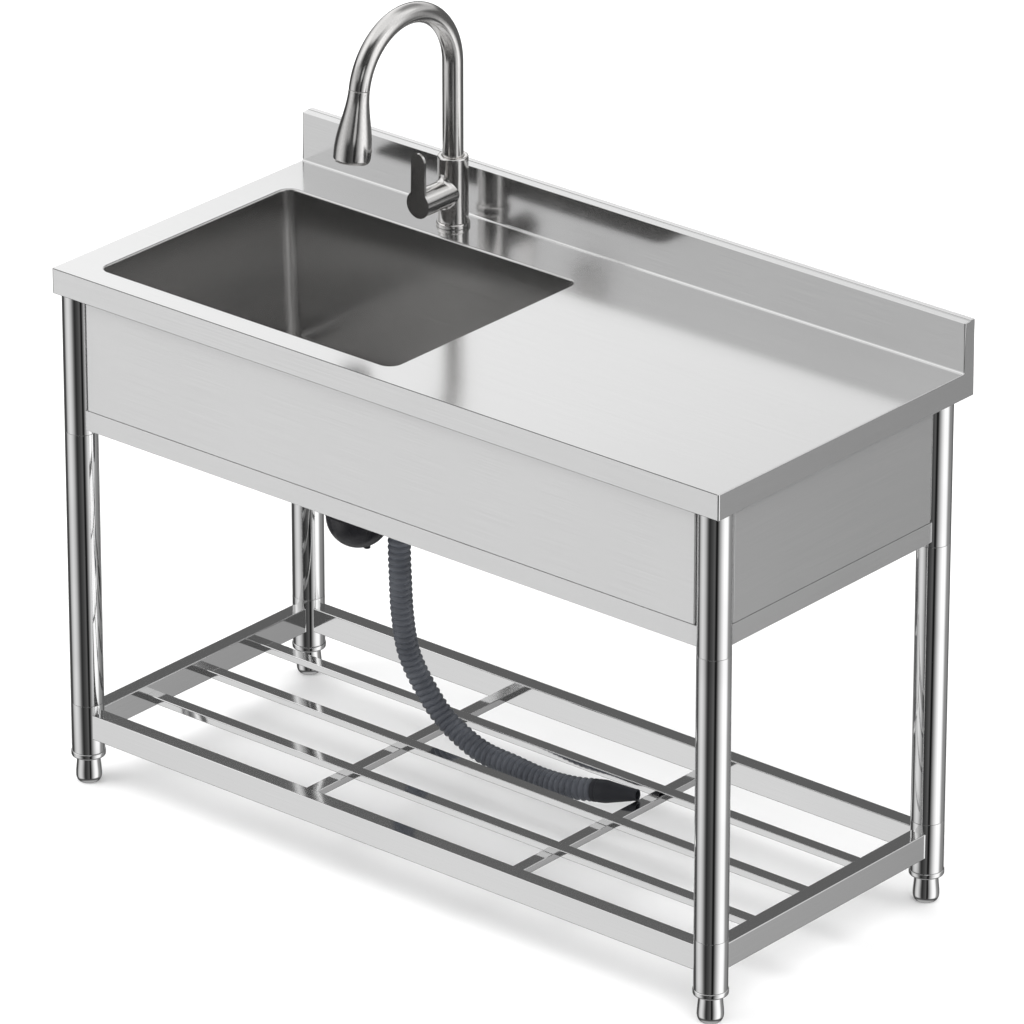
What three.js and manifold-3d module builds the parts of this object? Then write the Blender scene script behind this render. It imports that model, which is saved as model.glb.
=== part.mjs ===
// Free-standing stainless steel kitchen sink unit: a folded worktop with one welded bowl, a
// splashback, skirt panels, four jointed tube legs on levelling feet, an open slatted shelf,
// a basket strainer with a bottle trap and ribbed drain hose, and a pull-down mixer tap.
// Millimetres, +Z up. X runs along the worktop, the front faces -Y, and the origin is on the
// floor under the middle of the worktop.
import * as THREE from 'three';
import { mergeVertices } from 'three/addons/utils/BufferGeometryUtils.js';
import Module from 'manifold-3d';

const wasm = await Module();
wasm.setup();

// ---- Driving dimensions ----

// Whole unit
const UNIT_WIDTH = 1200;
const UNIT_DEPTH = 550;
const WORKTOP_HEIGHT = 795;
const SHEET = 1.2; // steel sheet of the worktop, bowl and panels
const SEAT_GAP = 0.3; // left between pieces that touch
const BEND_RADIUS = 1.6; // middle of the sheet at a fold

// Worktop, splashback and end plates
const APRON_HEIGHT = 38;
const APRON_RETURN = 10;
const SPLASH_HEIGHT = 75;
const SPLASH_THICKNESS = 22;
const SPLASH_BACK_LIP = 15;

// Bowl
const BOWL_FROM_LEFT = 53;
const BOWL_FROM_FRONT = 41;
const BOWL_LENGTH = 540;
const TAP_LEDGE = 91; // deck left between the bowl and the splashback
const BOWL_DEPTH = 240;
const BOWL_CORNER_RADIUS = 18;
const BOWL_FLOOR_RADIUS = 14;
const BOWL_END_DRAFT = 9; // how far the two ends lean in at the floor
const BOWL_SIDE_DRAFT = 2; // how far the front and back lean in at the floor
const BOWL_FLOOR_FALL = 4; // slope of the floor towards the waste
const BOWL_FLANGE = 5;
const DRAIN_FROM_BOWL_BACK = 160;
const DRAIN_HOLE_RADIUS = 43.5;
const DRAIN_RECESS_RADIUS = 58;
const DRAIN_RECESS_DEPTH = 3;

// Stiffening channel under the drainer side
const STIFFENER_FROM_RIGHT = 304;
const STIFFENER_WIDTH = 46;
const STIFFENER_HEIGHT = 22;
const STIFFENER_FOOT = 14;

// Legs, from the top down
const LEG_DIAMETER = 48;
const LEG_WALL = 1.5;
const LEG_INSET = 26;
const UPPER_JOINT_HEIGHT = 548;
const LOWER_JOINT_HEIGHT = 125;
const FOOT_JOINT_HEIGHT = 49;
const SPIGOT_LENGTH = 30;
const FOOT_RING_DIAMETER = 50;
const FOOT_RING_HEIGHT = 8.5;
const FOOT_PLUG_LENGTH = 24;
const FOOT_STUD_DIAMETER = 12;
const FOOT_STUD_LENGTH = 46;
const FOOT_NECK_DIAMETER = 34.2;
const FOOT_BULGE_DIAMETER = 37.6;
const FOOT_BULGE_HEIGHT = 10;
const FOOT_BASE_DIAMETER = 28;

// Frame rails and skirt panels
const RAIL_WIDTH = 25;
const RAIL_WALL = 1.5;
const RAIL_CORNER_RADIUS = 2;
const SKIRT_RAIL_HEIGHT = 30;
const SKIRT_RAIL_LIFT = 8; // the rail's lower face above the upper joint
const PANEL_RETURN = 14;

// Slatted shelf
const SHELF_RAIL_HEIGHT = 38;
const SHELF_RAIL_DROP = 14; // the rail's top below the lower joint
const SLAT_WIDTH = 20;
const SLAT_HEIGHT = 10.5;
const SLAT_WALL = 1.2;
const SLAT_DROP = 14; // slat tops below the rail tops
const SLAT_COUNT = 3;
const SLAT_PITCH = 116;
const CROSSBAR_SPACING = 381;

// Basket strainer and trap
const STRAINER_FLANGE_RADIUS = 56;
const STRAINER_FLANGE_THICKNESS = 2;
const STRAINER_CUP_RADIUS = 42;
const STRAINER_CUP_DEPTH = 55;
const STRAINER_WALL = 2;
const STRAINER_TAIL_RADIUS = 20;
const STRAINER_TAIL_LENGTH = 26;
const GASKET_THICKNESS = 3;
const LOCKNUT_RADIUS = 54;
const LOCKNUT_HEIGHT = 14;
const LOCKNUT_LUGS = 8;
const LOCKNUT_LUG_DEPTH = 3;
const BASKET_RADIUS = 36;
const BASKET_HEIGHT = 46;
const BASKET_WALL = 1.2;
const BASKET_SLOTS = 8;
const BASKET_SLOT_WIDTH = 5;
const BASKET_KNOB_RADIUS = 7;
const TRAP_RADIUS = 46.5;
const TRAP_WALL = 2.5;
const TRAP_NECK_HEIGHT = 12;
const TRAP_SHOULDER_HEIGHT = 14;
const TRAP_STRAIGHT_HEIGHT = 48;
const TRAP_NUT_WALL = 5;
const TRAP_NUT_LIP = 3;
const TRAP_PLUG_RADIUS = 5;
const TRAP_PLUG_OFFSET = 16;
const TRAP_OUTLET_DROP = 12; // outlet axis below the shoulder
const OUTLET_RADIUS = 19;
const OUTLET_WALL = 2.5;
const OUTLET_STUB_LENGTH = 6;
const ELBOW_BEND_RADIUS = 24;
const ELBOW_TAIL_LENGTH = 14;
const ELBOW_COLLAR_RADIUS = 22;
const ELBOW_COLLAR_HEIGHT = 12;

// Drain hose and its cuff
const HOSE_CREST_RADIUS = 16.8;
const HOSE_ROOT_RADIUS = 14.4;
const HOSE_BORE_RADIUS = 11;
const HOSE_RIB_PITCH = 9.6;
const HOSE_SIDES = 8;
const HOSE_RIBS_PER_BORE_RING = 5;
const HOSE_STRAIGHT_RUN = 34;
const CUFF_LENGTH = 70;
const CUFF_GRIP_LENGTH = 20;
const CUFF_RADIUS = 16.6;
const CUFF_TIP_RADIUS = 8.6;
const CUFF_TIP_LENGTH = 8;
const CUFF_BORE_RADIUS = 6;
// The loose stretch, by eye: it hangs from the elbow, swings to the right and passes between
// the back and middle slats, and its cuff lies on the right cross bar.
const HOSE_ROUTE = [
  [-199.6, 3, 341],
  [-201, 9, 278],
  [-197, 19, 216],
  [-174, 31, 160],
  [-147, 38, 124],
  [-88, 43, 91],
  [-25, 46, 83],
  [28, 47, 79],
];
const CUFF_START = [115.5, 54, 87.5];
const CUFF_SHIFT_BACK = 13; // the cuff's slant towards the back, where it meets the bar

// Mixer tap
const TAP_FROM_SPLASH = 43.5;
const TAP_HOLE_RADIUS = 17.5;
const BASE_RING_RADIUS = 24.3;
const BASE_RING_HEIGHT = 7;
const TAP_BODY_RADIUS = 22;
const TAP_BODY_HEIGHT = 106; // top of the body above the worktop
const TAP_SHANK_RADIUS = 16.5;
const TAP_SHANK_LENGTH = 50;
const TAP_WATER_BORE = 9;
const TAP_SOCKET_DEPTH = 40;
const TAP_NUT_HEIGHT = 11;
const TAP_NUT_RADIUS = 24;
const SPOUT_RADIUS = 15;
const SPOUT_WALL = 2;
const SPOUT_RISE = 140; // from the top of the body to the start of the arch
const SPOUT_ARCH_RADIUS = 100;
const SPOUT_ARCH_ANGLE = 170;
const ARM_RADIUS = 20;
const ARM_HEIGHT = 53; // arm axis above the worktop
const ARM_REACH = 49;
const ARM_FLARE = 8;
const CARTRIDGE_RADIUS = 17.3;
const CARTRIDGE_DEPTH = 27;
const TURRET_RADIUS = 9;
const TURRET_LENGTH = 11;
const HUB_RADIUS = 20.5;
const HUB_LENGTH = 27;
const HUB_CAVITY_RADIUS = 15;
const HUB_CAVITY_DEPTH = 20;
const LEVER_LENGTH = 77;
const LEVER_WIDTH = 26.6;
const LEVER_TIP_WIDTH = 24;
const LEVER_THICKNESS = 4;
const HEAD_LENGTH = 103;
const HEAD_BULGE_RADIUS = 26.6;
const HEAD_BULGE_AT = 88; // from the top of the head
const HEAD_MOUTH_RADIUS = 23.8;
const HEAD_BORE_RADIUS = 16.5;
const HEAD_TAIL_RADIUS = 6;
const HEAD_TAIL_LENGTH = 32;
const NOZZLE_RADIUS = 19;
const NOZZLE_THICKNESS = 5;
const NOZZLE_JETS = 8;
const NOZZLE_JET_RADIUS = 1.6;

// Facets
const LEG_SIDES = 24;
const ROUND_SIDES = 20;
const PIPE_SIDES = 16;

// ---- Places worked out from the sizes ----

const left = -UNIT_WIDTH / 2;
const right = UNIT_WIDTH / 2;
const front = -UNIT_DEPTH / 2;
const back = UNIT_DEPTH / 2;
const splashFront = back - SPLASH_THICKNESS;
const splashTop = WORKTOP_HEIGHT + SPLASH_HEIGHT;
const apronBottom = WORKTOP_HEIGHT - APRON_HEIGHT;
const underDeck = WORKTOP_HEIGHT - SHEET - SEAT_GAP;

const legRadius = LEG_DIAMETER / 2;
const legBore = legRadius - LEG_WALL;
const spigotRadius = legBore - SEAT_GAP;
const legX = right - LEG_INSET;
const legFront = front + LEG_INSET;
const legBack = splashFront - LEG_INSET;
const legMiddle = (legFront + legBack) / 2;

const bowlLeft = left + BOWL_FROM_LEFT;
const bowlRight = bowlLeft + BOWL_LENGTH;
const bowlFront = front + BOWL_FROM_FRONT;
const bowlBack = splashFront - TAP_LEDGE;
const bowlWidth = bowlBack - bowlFront;
const bowlFloor = WORKTOP_HEIGHT - BOWL_DEPTH;
const recessFloor = bowlFloor - DRAIN_RECESS_DEPTH;
const drainX = (bowlLeft + bowlRight) / 2;
const drainY = bowlBack - DRAIN_FROM_BOWL_BACK;

const halfRail = RAIL_WIDTH / 2;
const skirtRailTop = UPPER_JOINT_HEIGHT + SKIRT_RAIL_LIFT + SKIRT_RAIL_HEIGHT;
const shelfRailTop = LOWER_JOINT_HEIGHT - SHELF_RAIL_DROP;
const slatTop = shelfRailTop - SLAT_DROP;
const crossbarTop = slatTop - SLAT_HEIGHT - SEAT_GAP;

const flangeBottom = recessFloor + SEAT_GAP;
const cupBottom = flangeBottom - STRAINER_CUP_DEPTH;
const tailBottom = cupBottom - STRAINER_TAIL_LENGTH;
const trapTop = tailBottom + TRAP_NECK_HEIGHT + 6;
const trapShoulderTop = trapTop - TRAP_NECK_HEIGHT;
const trapShoulder = trapShoulderTop - TRAP_SHOULDER_HEIGHT;
const trapEquator = trapShoulder - TRAP_STRAIGHT_HEIGHT;
const outletZ = trapShoulder - TRAP_OUTLET_DROP;
const hoseX = drainX + TRAP_RADIUS + OUTLET_STUB_LENGTH + SEAT_GAP + ELBOW_BEND_RADIUS;
const elbowEnd = outletZ - ELBOW_BEND_RADIUS - ELBOW_TAIL_LENGTH;

const tapX = drainX;
const tapY = splashFront - TAP_FROM_SPLASH;
const tapBodyTop = WORKTOP_HEIGHT + TAP_BODY_HEIGHT;
const armZ = WORKTOP_HEIGHT + ARM_HEIGHT;
const spoutStart = tapBodyTop - TAP_SOCKET_DEPTH + SEAT_GAP;
const archLean = THREE.MathUtils.degToRad(SPOUT_ARCH_ANGLE);
const archCentre = new THREE.Vector3(
  tapX,
  tapY - SPOUT_ARCH_RADIUS,
  tapBodyTop + SPOUT_RISE,
);
const spoutEnd = new THREE.Vector3(
  tapX,
  archCentre.y + SPOUT_ARCH_RADIUS * Math.cos(archLean),
  archCentre.z + SPOUT_ARCH_RADIUS * Math.sin(archLean),
);
const headAxis = new THREE.Vector3(0, -Math.sin(archLean), Math.cos(archLean));

// ---- Materials ----

function steel(name, color, roughness) {
  return new THREE.MeshStandardMaterial({ name, color, roughness, metalness: 1 });
}

function plain(name, color, roughness) {
  return new THREE.MeshStandardMaterial({ name, color, roughness, metalness: 0 });
}

const satinSteel = steel('satin_steel', 0xc9cac8, 0.35);
const bowlSteel = steel('bowl_steel', 0x8f908c, 0.4);
const polishedSteel = steel('polished_steel', 0xd4d5d4, 0.12);
const tapSteel = steel('tap_steel', 0xa5a29d, 0.25);
const blackPlastic = plain('black_plastic', 0x202226, 0.35);
const greyHose = plain('grey_hose', 0x4c5058, 0.5);
const darkRubber = plain('dark_rubber', 0x232529, 0.7);
const palePlastic = plain('pale_plastic', 0xd9d6cc, 0.4);

// ---- Geometry helpers ----

// A copy with shared vertices merged and collapsed triangles left out.
function weld(geometry) {
  const bare = geometry.clone();
  bare.deleteAttribute('normal');
  bare.deleteAttribute('uv');
  const merged = mergeVertices(bare, 1e-4);
  const corners = merged.index.array;
  const kept = [];
  for (let i = 0; i < corners.length; i += 3) {
    const triangle = [corners[i], corners[i + 1], corners[i + 2]];
    if (new Set(triangle).size === 3) {
      kept.push(...triangle);
    }
  }
  merged.setIndex(kept);
  return merged;
}

function toSolid(geometry) {
  const closed = weld(geometry);
  const vertProperties = new Float32Array(closed.attributes.position.array);
  const triVerts = new Uint32Array(closed.index.array);
  return new wasm.Manifold(new wasm.Mesh({ numProp: 3, vertProperties, triVerts }));
}

function fromSolid(solid) {
  const mesh = solid.getMesh();
  const geometry = new THREE.BufferGeometry();
  geometry.setAttribute('position', new THREE.BufferAttribute(mesh.vertProperties, 3));
  geometry.setIndex(new THREE.BufferAttribute(mesh.triVerts, 1));
  geometry.computeVertexNormals();
  return geometry;
}

function join(...geometries) {
  return fromSolid(geometries.map(toSolid).reduce((whole, piece) => whole.add(piece)));
}

function cut(base, ...tools) {
  return fromSolid(tools.map(toSolid).reduce((rest, tool) => rest.subtract(tool), toSolid(base)));
}

// A profile of [radius, height] points, anticlockwise, turned about +Z from axis to axis.
function revolve(profile, sides = ROUND_SIDES) {
  const points = profile.map(([radius, height]) => new THREE.Vector2(radius, height));
  return new THREE.LatheGeometry(points, sides).rotateX(Math.PI / 2);
}

// The same for a profile that closes on itself, clear of the axis.
function revolveRing(profile, sides = ROUND_SIDES) {
  return revolve([...profile, profile[0]], sides);
}

function rod(radius, bottom, top, sides = ROUND_SIDES) {
  return revolve([[0, bottom], [radius, bottom], [radius, top], [0, top]], sides);
}

function block(x0, x1, y0, y1, z0, z1) {
  const box = new THREE.BoxGeometry(x1 - x0, y1 - y0, z1 - z0);
  return box.translate((x0 + x1) / 2, (y0 + y1) / 2, (z0 + z1) / 2);
}

const axisX = new THREE.Vector3(1, 0, 0);
const axisY = new THREE.Vector3(0, 1, 0);
const axisZ = new THREE.Vector3(0, 0, 1);
const sectionAlongX = new THREE.Matrix4().makeBasis(axisY, axisZ, axisX);
const sectionAlongY = new THREE.Matrix4().makeBasis(axisZ, axisX, axisY);

function extrude(outline, depth, hole) {
  const shape = new THREE.Shape(outline);
  if (hole) {
    shape.holes.push(new THREE.Path(hole));
  }
  return new THREE.ExtrudeGeometry(shape, { depth, bevelEnabled: false });
}

// A section of (y, z) points drawn out along X.
function extrudeX(outline, x0, x1, hole) {
  return extrude(outline, x1 - x0, hole).applyMatrix4(sectionAlongX).translate(x0, 0, 0);
}

// A section of (z, x) points drawn out along Y.
function extrudeY(outline, y0, y1, hole) {
  return extrude(outline, y1 - y0, hole).applyMatrix4(sectionAlongY).translate(0, y0, 0);
}

// A rounded rectangle round (cx, cy), with the same number of points for any size.
function roundedOutline(cx, cy, width, height, radius, steps) {
  const points = [];
  for (let corner = 0; corner < 4; corner += 1) {
    const sideX = corner === 0 || corner === 3 ? 1 : -1;
    const sideY = corner < 2 ? 1 : -1;
    const centreX = cx + sideX * (width / 2 - radius);
    const centreY = cy + sideY * (height / 2 - radius);
    for (let step = 0; step <= steps; step += 1) {
      const angle = (corner + step / steps) * Math.PI / 2;
      points.push(new THREE.Vector2(
        centreX + radius * Math.cos(angle),
        centreY + radius * Math.sin(angle),
      ));
    }
  }
  return points;
}

// The outline of a sheet folded along a path of points, with every fold bent on BEND_RADIUS.
function foldedOutline(path, bendSteps = 2) {
  const points = path.map(([u, v]) => new THREE.Vector2(u, v));
  const upper = [];
  const lower = [];
  const place = (point, normal) => {
    upper.push(point.clone().addScaledVector(normal, SHEET / 2));
    lower.push(point.clone().addScaledVector(normal, -SHEET / 2));
  };
  const heading = (i) => points[i + 1].clone().sub(points[i]).normalize();
  const normalOf = (direction) => new THREE.Vector2(-direction.y, direction.x);
  place(points[0], normalOf(heading(0)));
  for (let i = 1; i < points.length - 1; i += 1) {
    const before = heading(i - 1);
    const after = heading(i);
    const turn = Math.atan2(before.cross(after), before.dot(after));
    const reach = BEND_RADIUS * Math.tan(Math.abs(turn) / 2);
    const start = points[i].clone().addScaledVector(before, -reach);
    const side = Math.sign(turn);
    const centre = start.clone().addScaledVector(normalOf(before), side * BEND_RADIUS);
    for (let step = 0; step <= bendSteps; step += 1) {
      const normal = normalOf(before).rotateAround(new THREE.Vector2(), turn * step / bendSteps);
      place(centre.clone().addScaledVector(normal, -side * BEND_RADIUS), normal);
    }
  }
  place(points[points.length - 1], normalOf(heading(points.length - 2)));
  return [...upper, ...lower.reverse()];
}

// A closed skin through a loop of rings that each have the same number of points.
function skinLoop(rings) {
  const count = rings[0].length;
  const positions = rings.flat().flatMap((point) => [point.x, point.y, point.z]);
  const index = [];
  rings.forEach((ring, r) => {
    const next = (r + 1) % rings.length;
    for (let i = 0; i < count; i += 1) {
      const j = (i + 1) % count;
      index.push(r * count + i, r * count + j, next * count + j);
      index.push(r * count + i, next * count + j, next * count + i);
    }
  });
  const geometry = new THREE.BufferGeometry();
  geometry.setAttribute('position', new THREE.Float32BufferAttribute(positions, 3));
  geometry.setIndex(index);
  geometry.computeVertexNormals();
  return geometry;
}

// Stations of a straight run, a bend from one direction towards another, and a straight tail.
function bentStations(start, heading, towards, straight, radius, angle, bendSteps, tail = 0) {
  const stations = [{ centre: start.clone(), tangent: heading.clone() }];
  for (let step = straight > 0 ? 0 : 1; step <= bendSteps; step += 1) {
    const turned = angle * step / bendSteps;
    stations.push({
      centre: start.clone()
        .addScaledVector(heading, straight + radius * Math.sin(turned))
        .addScaledVector(towards, radius * (1 - Math.cos(turned))),
      tangent: heading.clone()
        .multiplyScalar(Math.cos(turned))
        .addScaledVector(towards, Math.sin(turned)),
    });
  }
  if (tail > 0) {
    const { centre, tangent } = stations[stations.length - 1];
    stations.push({ centre: centre.clone().addScaledVector(tangent, tail), tangent });
  }
  return stations;
}

// A ring of points round a station, anticlockwise about its tangent.
function ringAround({ centre, tangent }, across, radius, sides) {
  const beside = tangent.clone().cross(across);
  return Array.from({ length: sides }, (_, i) => {
    const angle = i / sides * 2 * Math.PI;
    return centre.clone()
      .addScaledVector(across, radius * Math.cos(angle))
      .addScaledVector(beside, radius * Math.sin(angle));
  });
}

// A round pipe with a bore through stations that all lie in the plane square to across.
function pipeThrough(stations, across, radius, wall, sides = PIPE_SIDES) {
  const outer = stations.map((station) => ringAround(station, across, radius, sides));
  const inner = stations.map((station) => ringAround(station, across, radius - wall, sides));
  return skinLoop([...outer, ...inner.reverse()]);
}

const unit = new THREE.Group();

function add(name, geometry, material, parent = unit) {
  const mesh = new THREE.Mesh(geometry, material);
  mesh.name = name;
  parent.add(mesh);
  return mesh;
}

// ---- Worktop ----

const legPlaces = [
  ['front_left', -legX, legFront],
  ['front_right', legX, legFront],
  ['back_left', -legX, legBack],
  ['back_right', legX, legBack],
];

// What each leg takes out of whatever meets it.
function legClearances(bottom, top) {
  return legPlaces.map(([, x, y]) => (
    rod(legRadius + SEAT_GAP, bottom, top, LEG_SIDES).translate(x, y, 0)
  ));
}

function worktopDeck() {
  const half = SHEET / 2;
  const section = foldedOutline([
    [front + APRON_RETURN, apronBottom + half],
    [front + half, apronBottom + half],
    [front + half, WORKTOP_HEIGHT - half],
    [splashFront + half, WORKTOP_HEIGHT - half],
    [splashFront + half, splashTop - half],
    [back - half, splashTop - half],
    [back - half, splashTop - SPLASH_BACK_LIP],
  ]);
  const end = right - SHEET - SEAT_GAP;
  const sheet = extrudeX(section, -end, end);
  const mouth = extrude(
    roundedOutline(drainX, (bowlFront + bowlBack) / 2, BOWL_LENGTH, bowlWidth, BOWL_CORNER_RADIUS, 5),
    4 * SHEET,
  ).translate(0, 0, WORKTOP_HEIGHT - 2 * SHEET);
  const tapHole = rod(TAP_HOLE_RADIUS, WORKTOP_HEIGHT - 2 * SHEET, WORKTOP_HEIGHT + SHEET);
  return cut(
    sheet,
    mouth,
    tapHole.translate(tapX, tapY, 0),
    ...legClearances(apronBottom - SHEET, underDeck),
  );
}

// The L-shaped plate that closes one end of the worktop and splashback, with a folded lower lip.
function endPlate(side) {
  const outline = [
    [front, apronBottom],
    [back, apronBottom],
    [back, splashTop],
    [splashFront, splashTop],
    [splashFront, WORKTOP_HEIGHT],
    [front, WORKTOP_HEIGHT],
  ].map(([y, z]) => new THREE.Vector2(y, z));
  const outer = side * right;
  const inner = side * (right - SHEET);
  const lipEdge = side * (right - APRON_RETURN);
  const plate = extrudeX(outline, Math.min(outer, inner), Math.max(outer, inner));
  const lip = block(
    Math.min(outer, lipEdge),
    Math.max(outer, lipEdge),
    front + APRON_RETURN + SEAT_GAP,
    back,
    apronBottom,
    apronBottom + SHEET,
  );
  return cut(join(plate, lip), ...legClearances(apronBottom - SHEET, underDeck));
}

const RING_STEPS = 5;

// One level of the bowl: its rounded rectangle, drawn in from the rim by inX and inY.
function bowlRing(inX, inY, radius, z) {
  const outline = roundedOutline(
    drainX,
    (bowlFront + bowlBack) / 2,
    BOWL_LENGTH - 2 * inX,
    bowlWidth - 2 * inY,
    radius,
    RING_STEPS,
  );
  return outline.map((point) => new THREE.Vector3(point.x, point.y, z));
}

// One circle round the waste, with as many points as a level of the bowl.
function drainRing(radius, z) {
  const count = 4 * (RING_STEPS + 1);
  return Array.from({ length: count }, (_, i) => {
    const angle = (i + 0.5) / count * 2 * Math.PI;
    return new THREE.Vector3(drainX + radius * Math.cos(angle), drainY + radius * Math.sin(angle), z);
  });
}

// Levels of one face of the bowl from the rim to the waste, moved outwards by the given offset.
function bowlFace(offset) {
  const floorEdge = bowlFloor + BOWL_FLOOR_FALL - offset;
  const bend = BOWL_FLOOR_RADIUS + offset;
  const levels = [bowlRing(-offset, -offset, BOWL_CORNER_RADIUS + offset, underDeck - offset)];
  for (let step = 0; step <= 3; step += 1) {
    const angle = step / 3 * Math.PI / 2;
    const inwards = bend * (1 - Math.cos(angle)) - offset;
    levels.push(bowlRing(
      BOWL_END_DRAFT + inwards,
      BOWL_SIDE_DRAFT + inwards,
      BOWL_CORNER_RADIUS - inwards,
      floorEdge + bend * (1 - Math.sin(angle)),
    ));
  }
  levels.push(drainRing(DRAIN_RECESS_RADIUS + 2 + offset, bowlFloor - offset));
  levels.push(drainRing(DRAIN_RECESS_RADIUS + offset, recessFloor - offset));
  levels.push(drainRing(DRAIN_HOLE_RADIUS, recessFloor - offset));
  return levels;
}

function sinkBowl() {
  const lip = BOWL_CORNER_RADIUS + BOWL_FLANGE;
  return skinLoop([
    bowlRing(-BOWL_FLANGE, -BOWL_FLANGE, lip, underDeck - SHEET),
    bowlRing(-BOWL_FLANGE, -BOWL_FLANGE, lip, underDeck),
    ...bowlFace(0),
    ...bowlFace(SHEET).reverse(),
  ]);
}

// A top-hat channel welded under the drainer, from front to back.
function deckStiffener() {
  const centre = right - STIFFENER_FROM_RIGHT;
  const top = underDeck - SHEET / 2;
  const bottom = top - STIFFENER_HEIGHT;
  const wing = STIFFENER_WIDTH / 2;
  const section = foldedOutline([
    [top, centre - wing - STIFFENER_FOOT],
    [top, centre - wing],
    [bottom, centre - wing],
    [bottom, centre + wing],
    [top, centre + wing],
    [top, centre + wing + STIFFENER_FOOT],
  ]);
  const reach = halfRail - SHEET - SEAT_GAP;
  return extrudeY(section, legFront - reach, legBack + reach);
}

add('worktop_deck', worktopDeck(), satinSteel);
add('end_plate_left', endPlate(-1), satinSteel);
add('end_plate_right', endPlate(1), satinSteel);
add('sink_bowl', sinkBowl(), bowlSteel);
add('deck_stiffener', deckStiffener(), satinSteel);

// ---- Frame: legs, rails and panels ----

// A leg stage: a plain tube whose reduced top end plugs into the stage above.
function legStage(bottom, top) {
  const shoulder = top - SEAT_GAP;
  return revolveRing([
    [legRadius, bottom],
    [legRadius, shoulder],
    [spigotRadius, shoulder],
    [spigotRadius, shoulder + SPIGOT_LENGTH],
    [spigotRadius - LEG_WALL, shoulder + SPIGOT_LENGTH],
    [spigotRadius - LEG_WALL, shoulder - 2 * LEG_WALL],
    [legBore, shoulder - 3 * LEG_WALL],
    [legBore, bottom],
  ], LEG_SIDES);
}

function upperLeg() {
  return revolveRing([
    [legRadius, UPPER_JOINT_HEIGHT],
    [legRadius, underDeck],
    [legBore, underDeck],
    [legBore, UPPER_JOINT_HEIGHT],
  ], LEG_SIDES);
}

const footRingBottom = FOOT_JOINT_HEIGHT - FOOT_RING_HEIGHT;
const studRadius = FOOT_STUD_DIAMETER / 2;

// The plug in the end of the leg, with the ring that shows and the hole for the foot's stud.
function footInsert() {
  const ringRadius = FOOT_RING_DIAMETER / 2;
  const ringTop = FOOT_JOINT_HEIGHT - SEAT_GAP;
  return revolveRing([
    [studRadius + SEAT_GAP, footRingBottom],
    [ringRadius - 1.5, footRingBottom],
    [ringRadius, footRingBottom + 1.5],
    [ringRadius, ringTop - 1],
    [ringRadius - 1, ringTop],
    [spigotRadius, ringTop],
    [spigotRadius, ringTop + FOOT_PLUG_LENGTH],
    [studRadius + SEAT_GAP, ringTop + FOOT_PLUG_LENGTH],
  ]);
}

// The bullet foot: a waisted bulb on a threaded stud.
function levellingFoot() {
  const top = footRingBottom - SEAT_GAP;
  const neck = FOOT_NECK_DIAMETER / 2;
  const bulge = FOOT_BULGE_DIAMETER / 2;
  const base = FOOT_BASE_DIAMETER / 2;
  const profile = [[0, 0], [base, 0]];
  const steps = 3;
  for (let step = 1; step <= steps; step += 1) {
    const angle = step / steps * Math.PI / 2;
    profile.push([
      base + (bulge - base) * Math.sin(angle),
      FOOT_BULGE_HEIGHT * (1 - Math.cos(angle)),
    ]);
  }
  for (let step = 1; step <= steps; step += 1) {
    const share = step / steps;
    const blend = (1 - Math.cos(share * Math.PI)) / 2;
    profile.push([
      bulge + (neck - bulge) * blend,
      FOOT_BULGE_HEIGHT + (top - FOOT_BULGE_HEIGHT) * share,
    ]);
  }
  profile.push([studRadius, top], [studRadius, top + FOOT_STUD_LENGTH], [0, top + FOOT_STUD_LENGTH]);
  return revolve(profile);
}

for (const [corner, x, y] of legPlaces) {
  const leg = new THREE.Group();
  leg.position.set(x, y, 0);
  unit.add(leg);
  add(`upper_leg_${corner}`, upperLeg(), polishedSteel, leg);
  add(`leg_tube_${corner}`, legStage(LOWER_JOINT_HEIGHT, UPPER_JOINT_HEIGHT), polishedSteel, leg);
  add(`shelf_corner_${corner}`, legStage(FOOT_JOINT_HEIGHT, LOWER_JOINT_HEIGHT), polishedSteel, leg);
  add(`foot_insert_${corner}`, footInsert(), polishedSteel, leg);
  add(`levelling_foot_${corner}`, levellingFoot(), polishedSteel, leg);
}

// A box-section rail between two legs, its ends coped round them.
function copedRail(alongX, place, height, top) {
  const middle = top - height / 2;
  const radius = RAIL_CORNER_RADIUS;
  const bore = [RAIL_WIDTH - 2 * RAIL_WALL, height - 2 * RAIL_WALL];
  const clearances = legClearances(top - height - 1, top + 1);
  if (alongX) {
    const outline = roundedOutline(place, middle, RAIL_WIDTH, height, radius, 2);
    const hole = roundedOutline(place, middle, bore[0], bore[1], radius / 2, 1);
    return cut(extrudeX(outline, -legX, legX, hole), ...clearances);
  }
  const outline = roundedOutline(middle, place, height, RAIL_WIDTH, radius, 2);
  const hole = roundedOutline(middle, place, bore[1], bore[0], radius / 2, 1);
  return cut(extrudeY(outline, legFront, legBack, hole), ...clearances);
}

// A skirt panel: a sheet with its lower edge and both ends folded in, standing on its rail.
// It spans half the given length each way from the origin and faces -Y.
function skirtPanel(halfLength) {
  const bottom = skirtRailTop + SEAT_GAP;
  const sheet = block(-halfLength, halfLength, -halfRail, PANEL_RETURN - halfRail, bottom, underDeck);
  const hollow = block(
    SHEET - halfLength,
    halfLength - SHEET,
    SHEET - halfRail,
    PANEL_RETURN + halfRail,
    bottom + SHEET,
    underDeck + SHEET,
  );
  return cut(sheet, hollow);
}

const panelHalfX = legX - legRadius - SEAT_GAP;
const panelHalfY = (legBack - legFront) / 2 - legRadius - SEAT_GAP;

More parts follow.
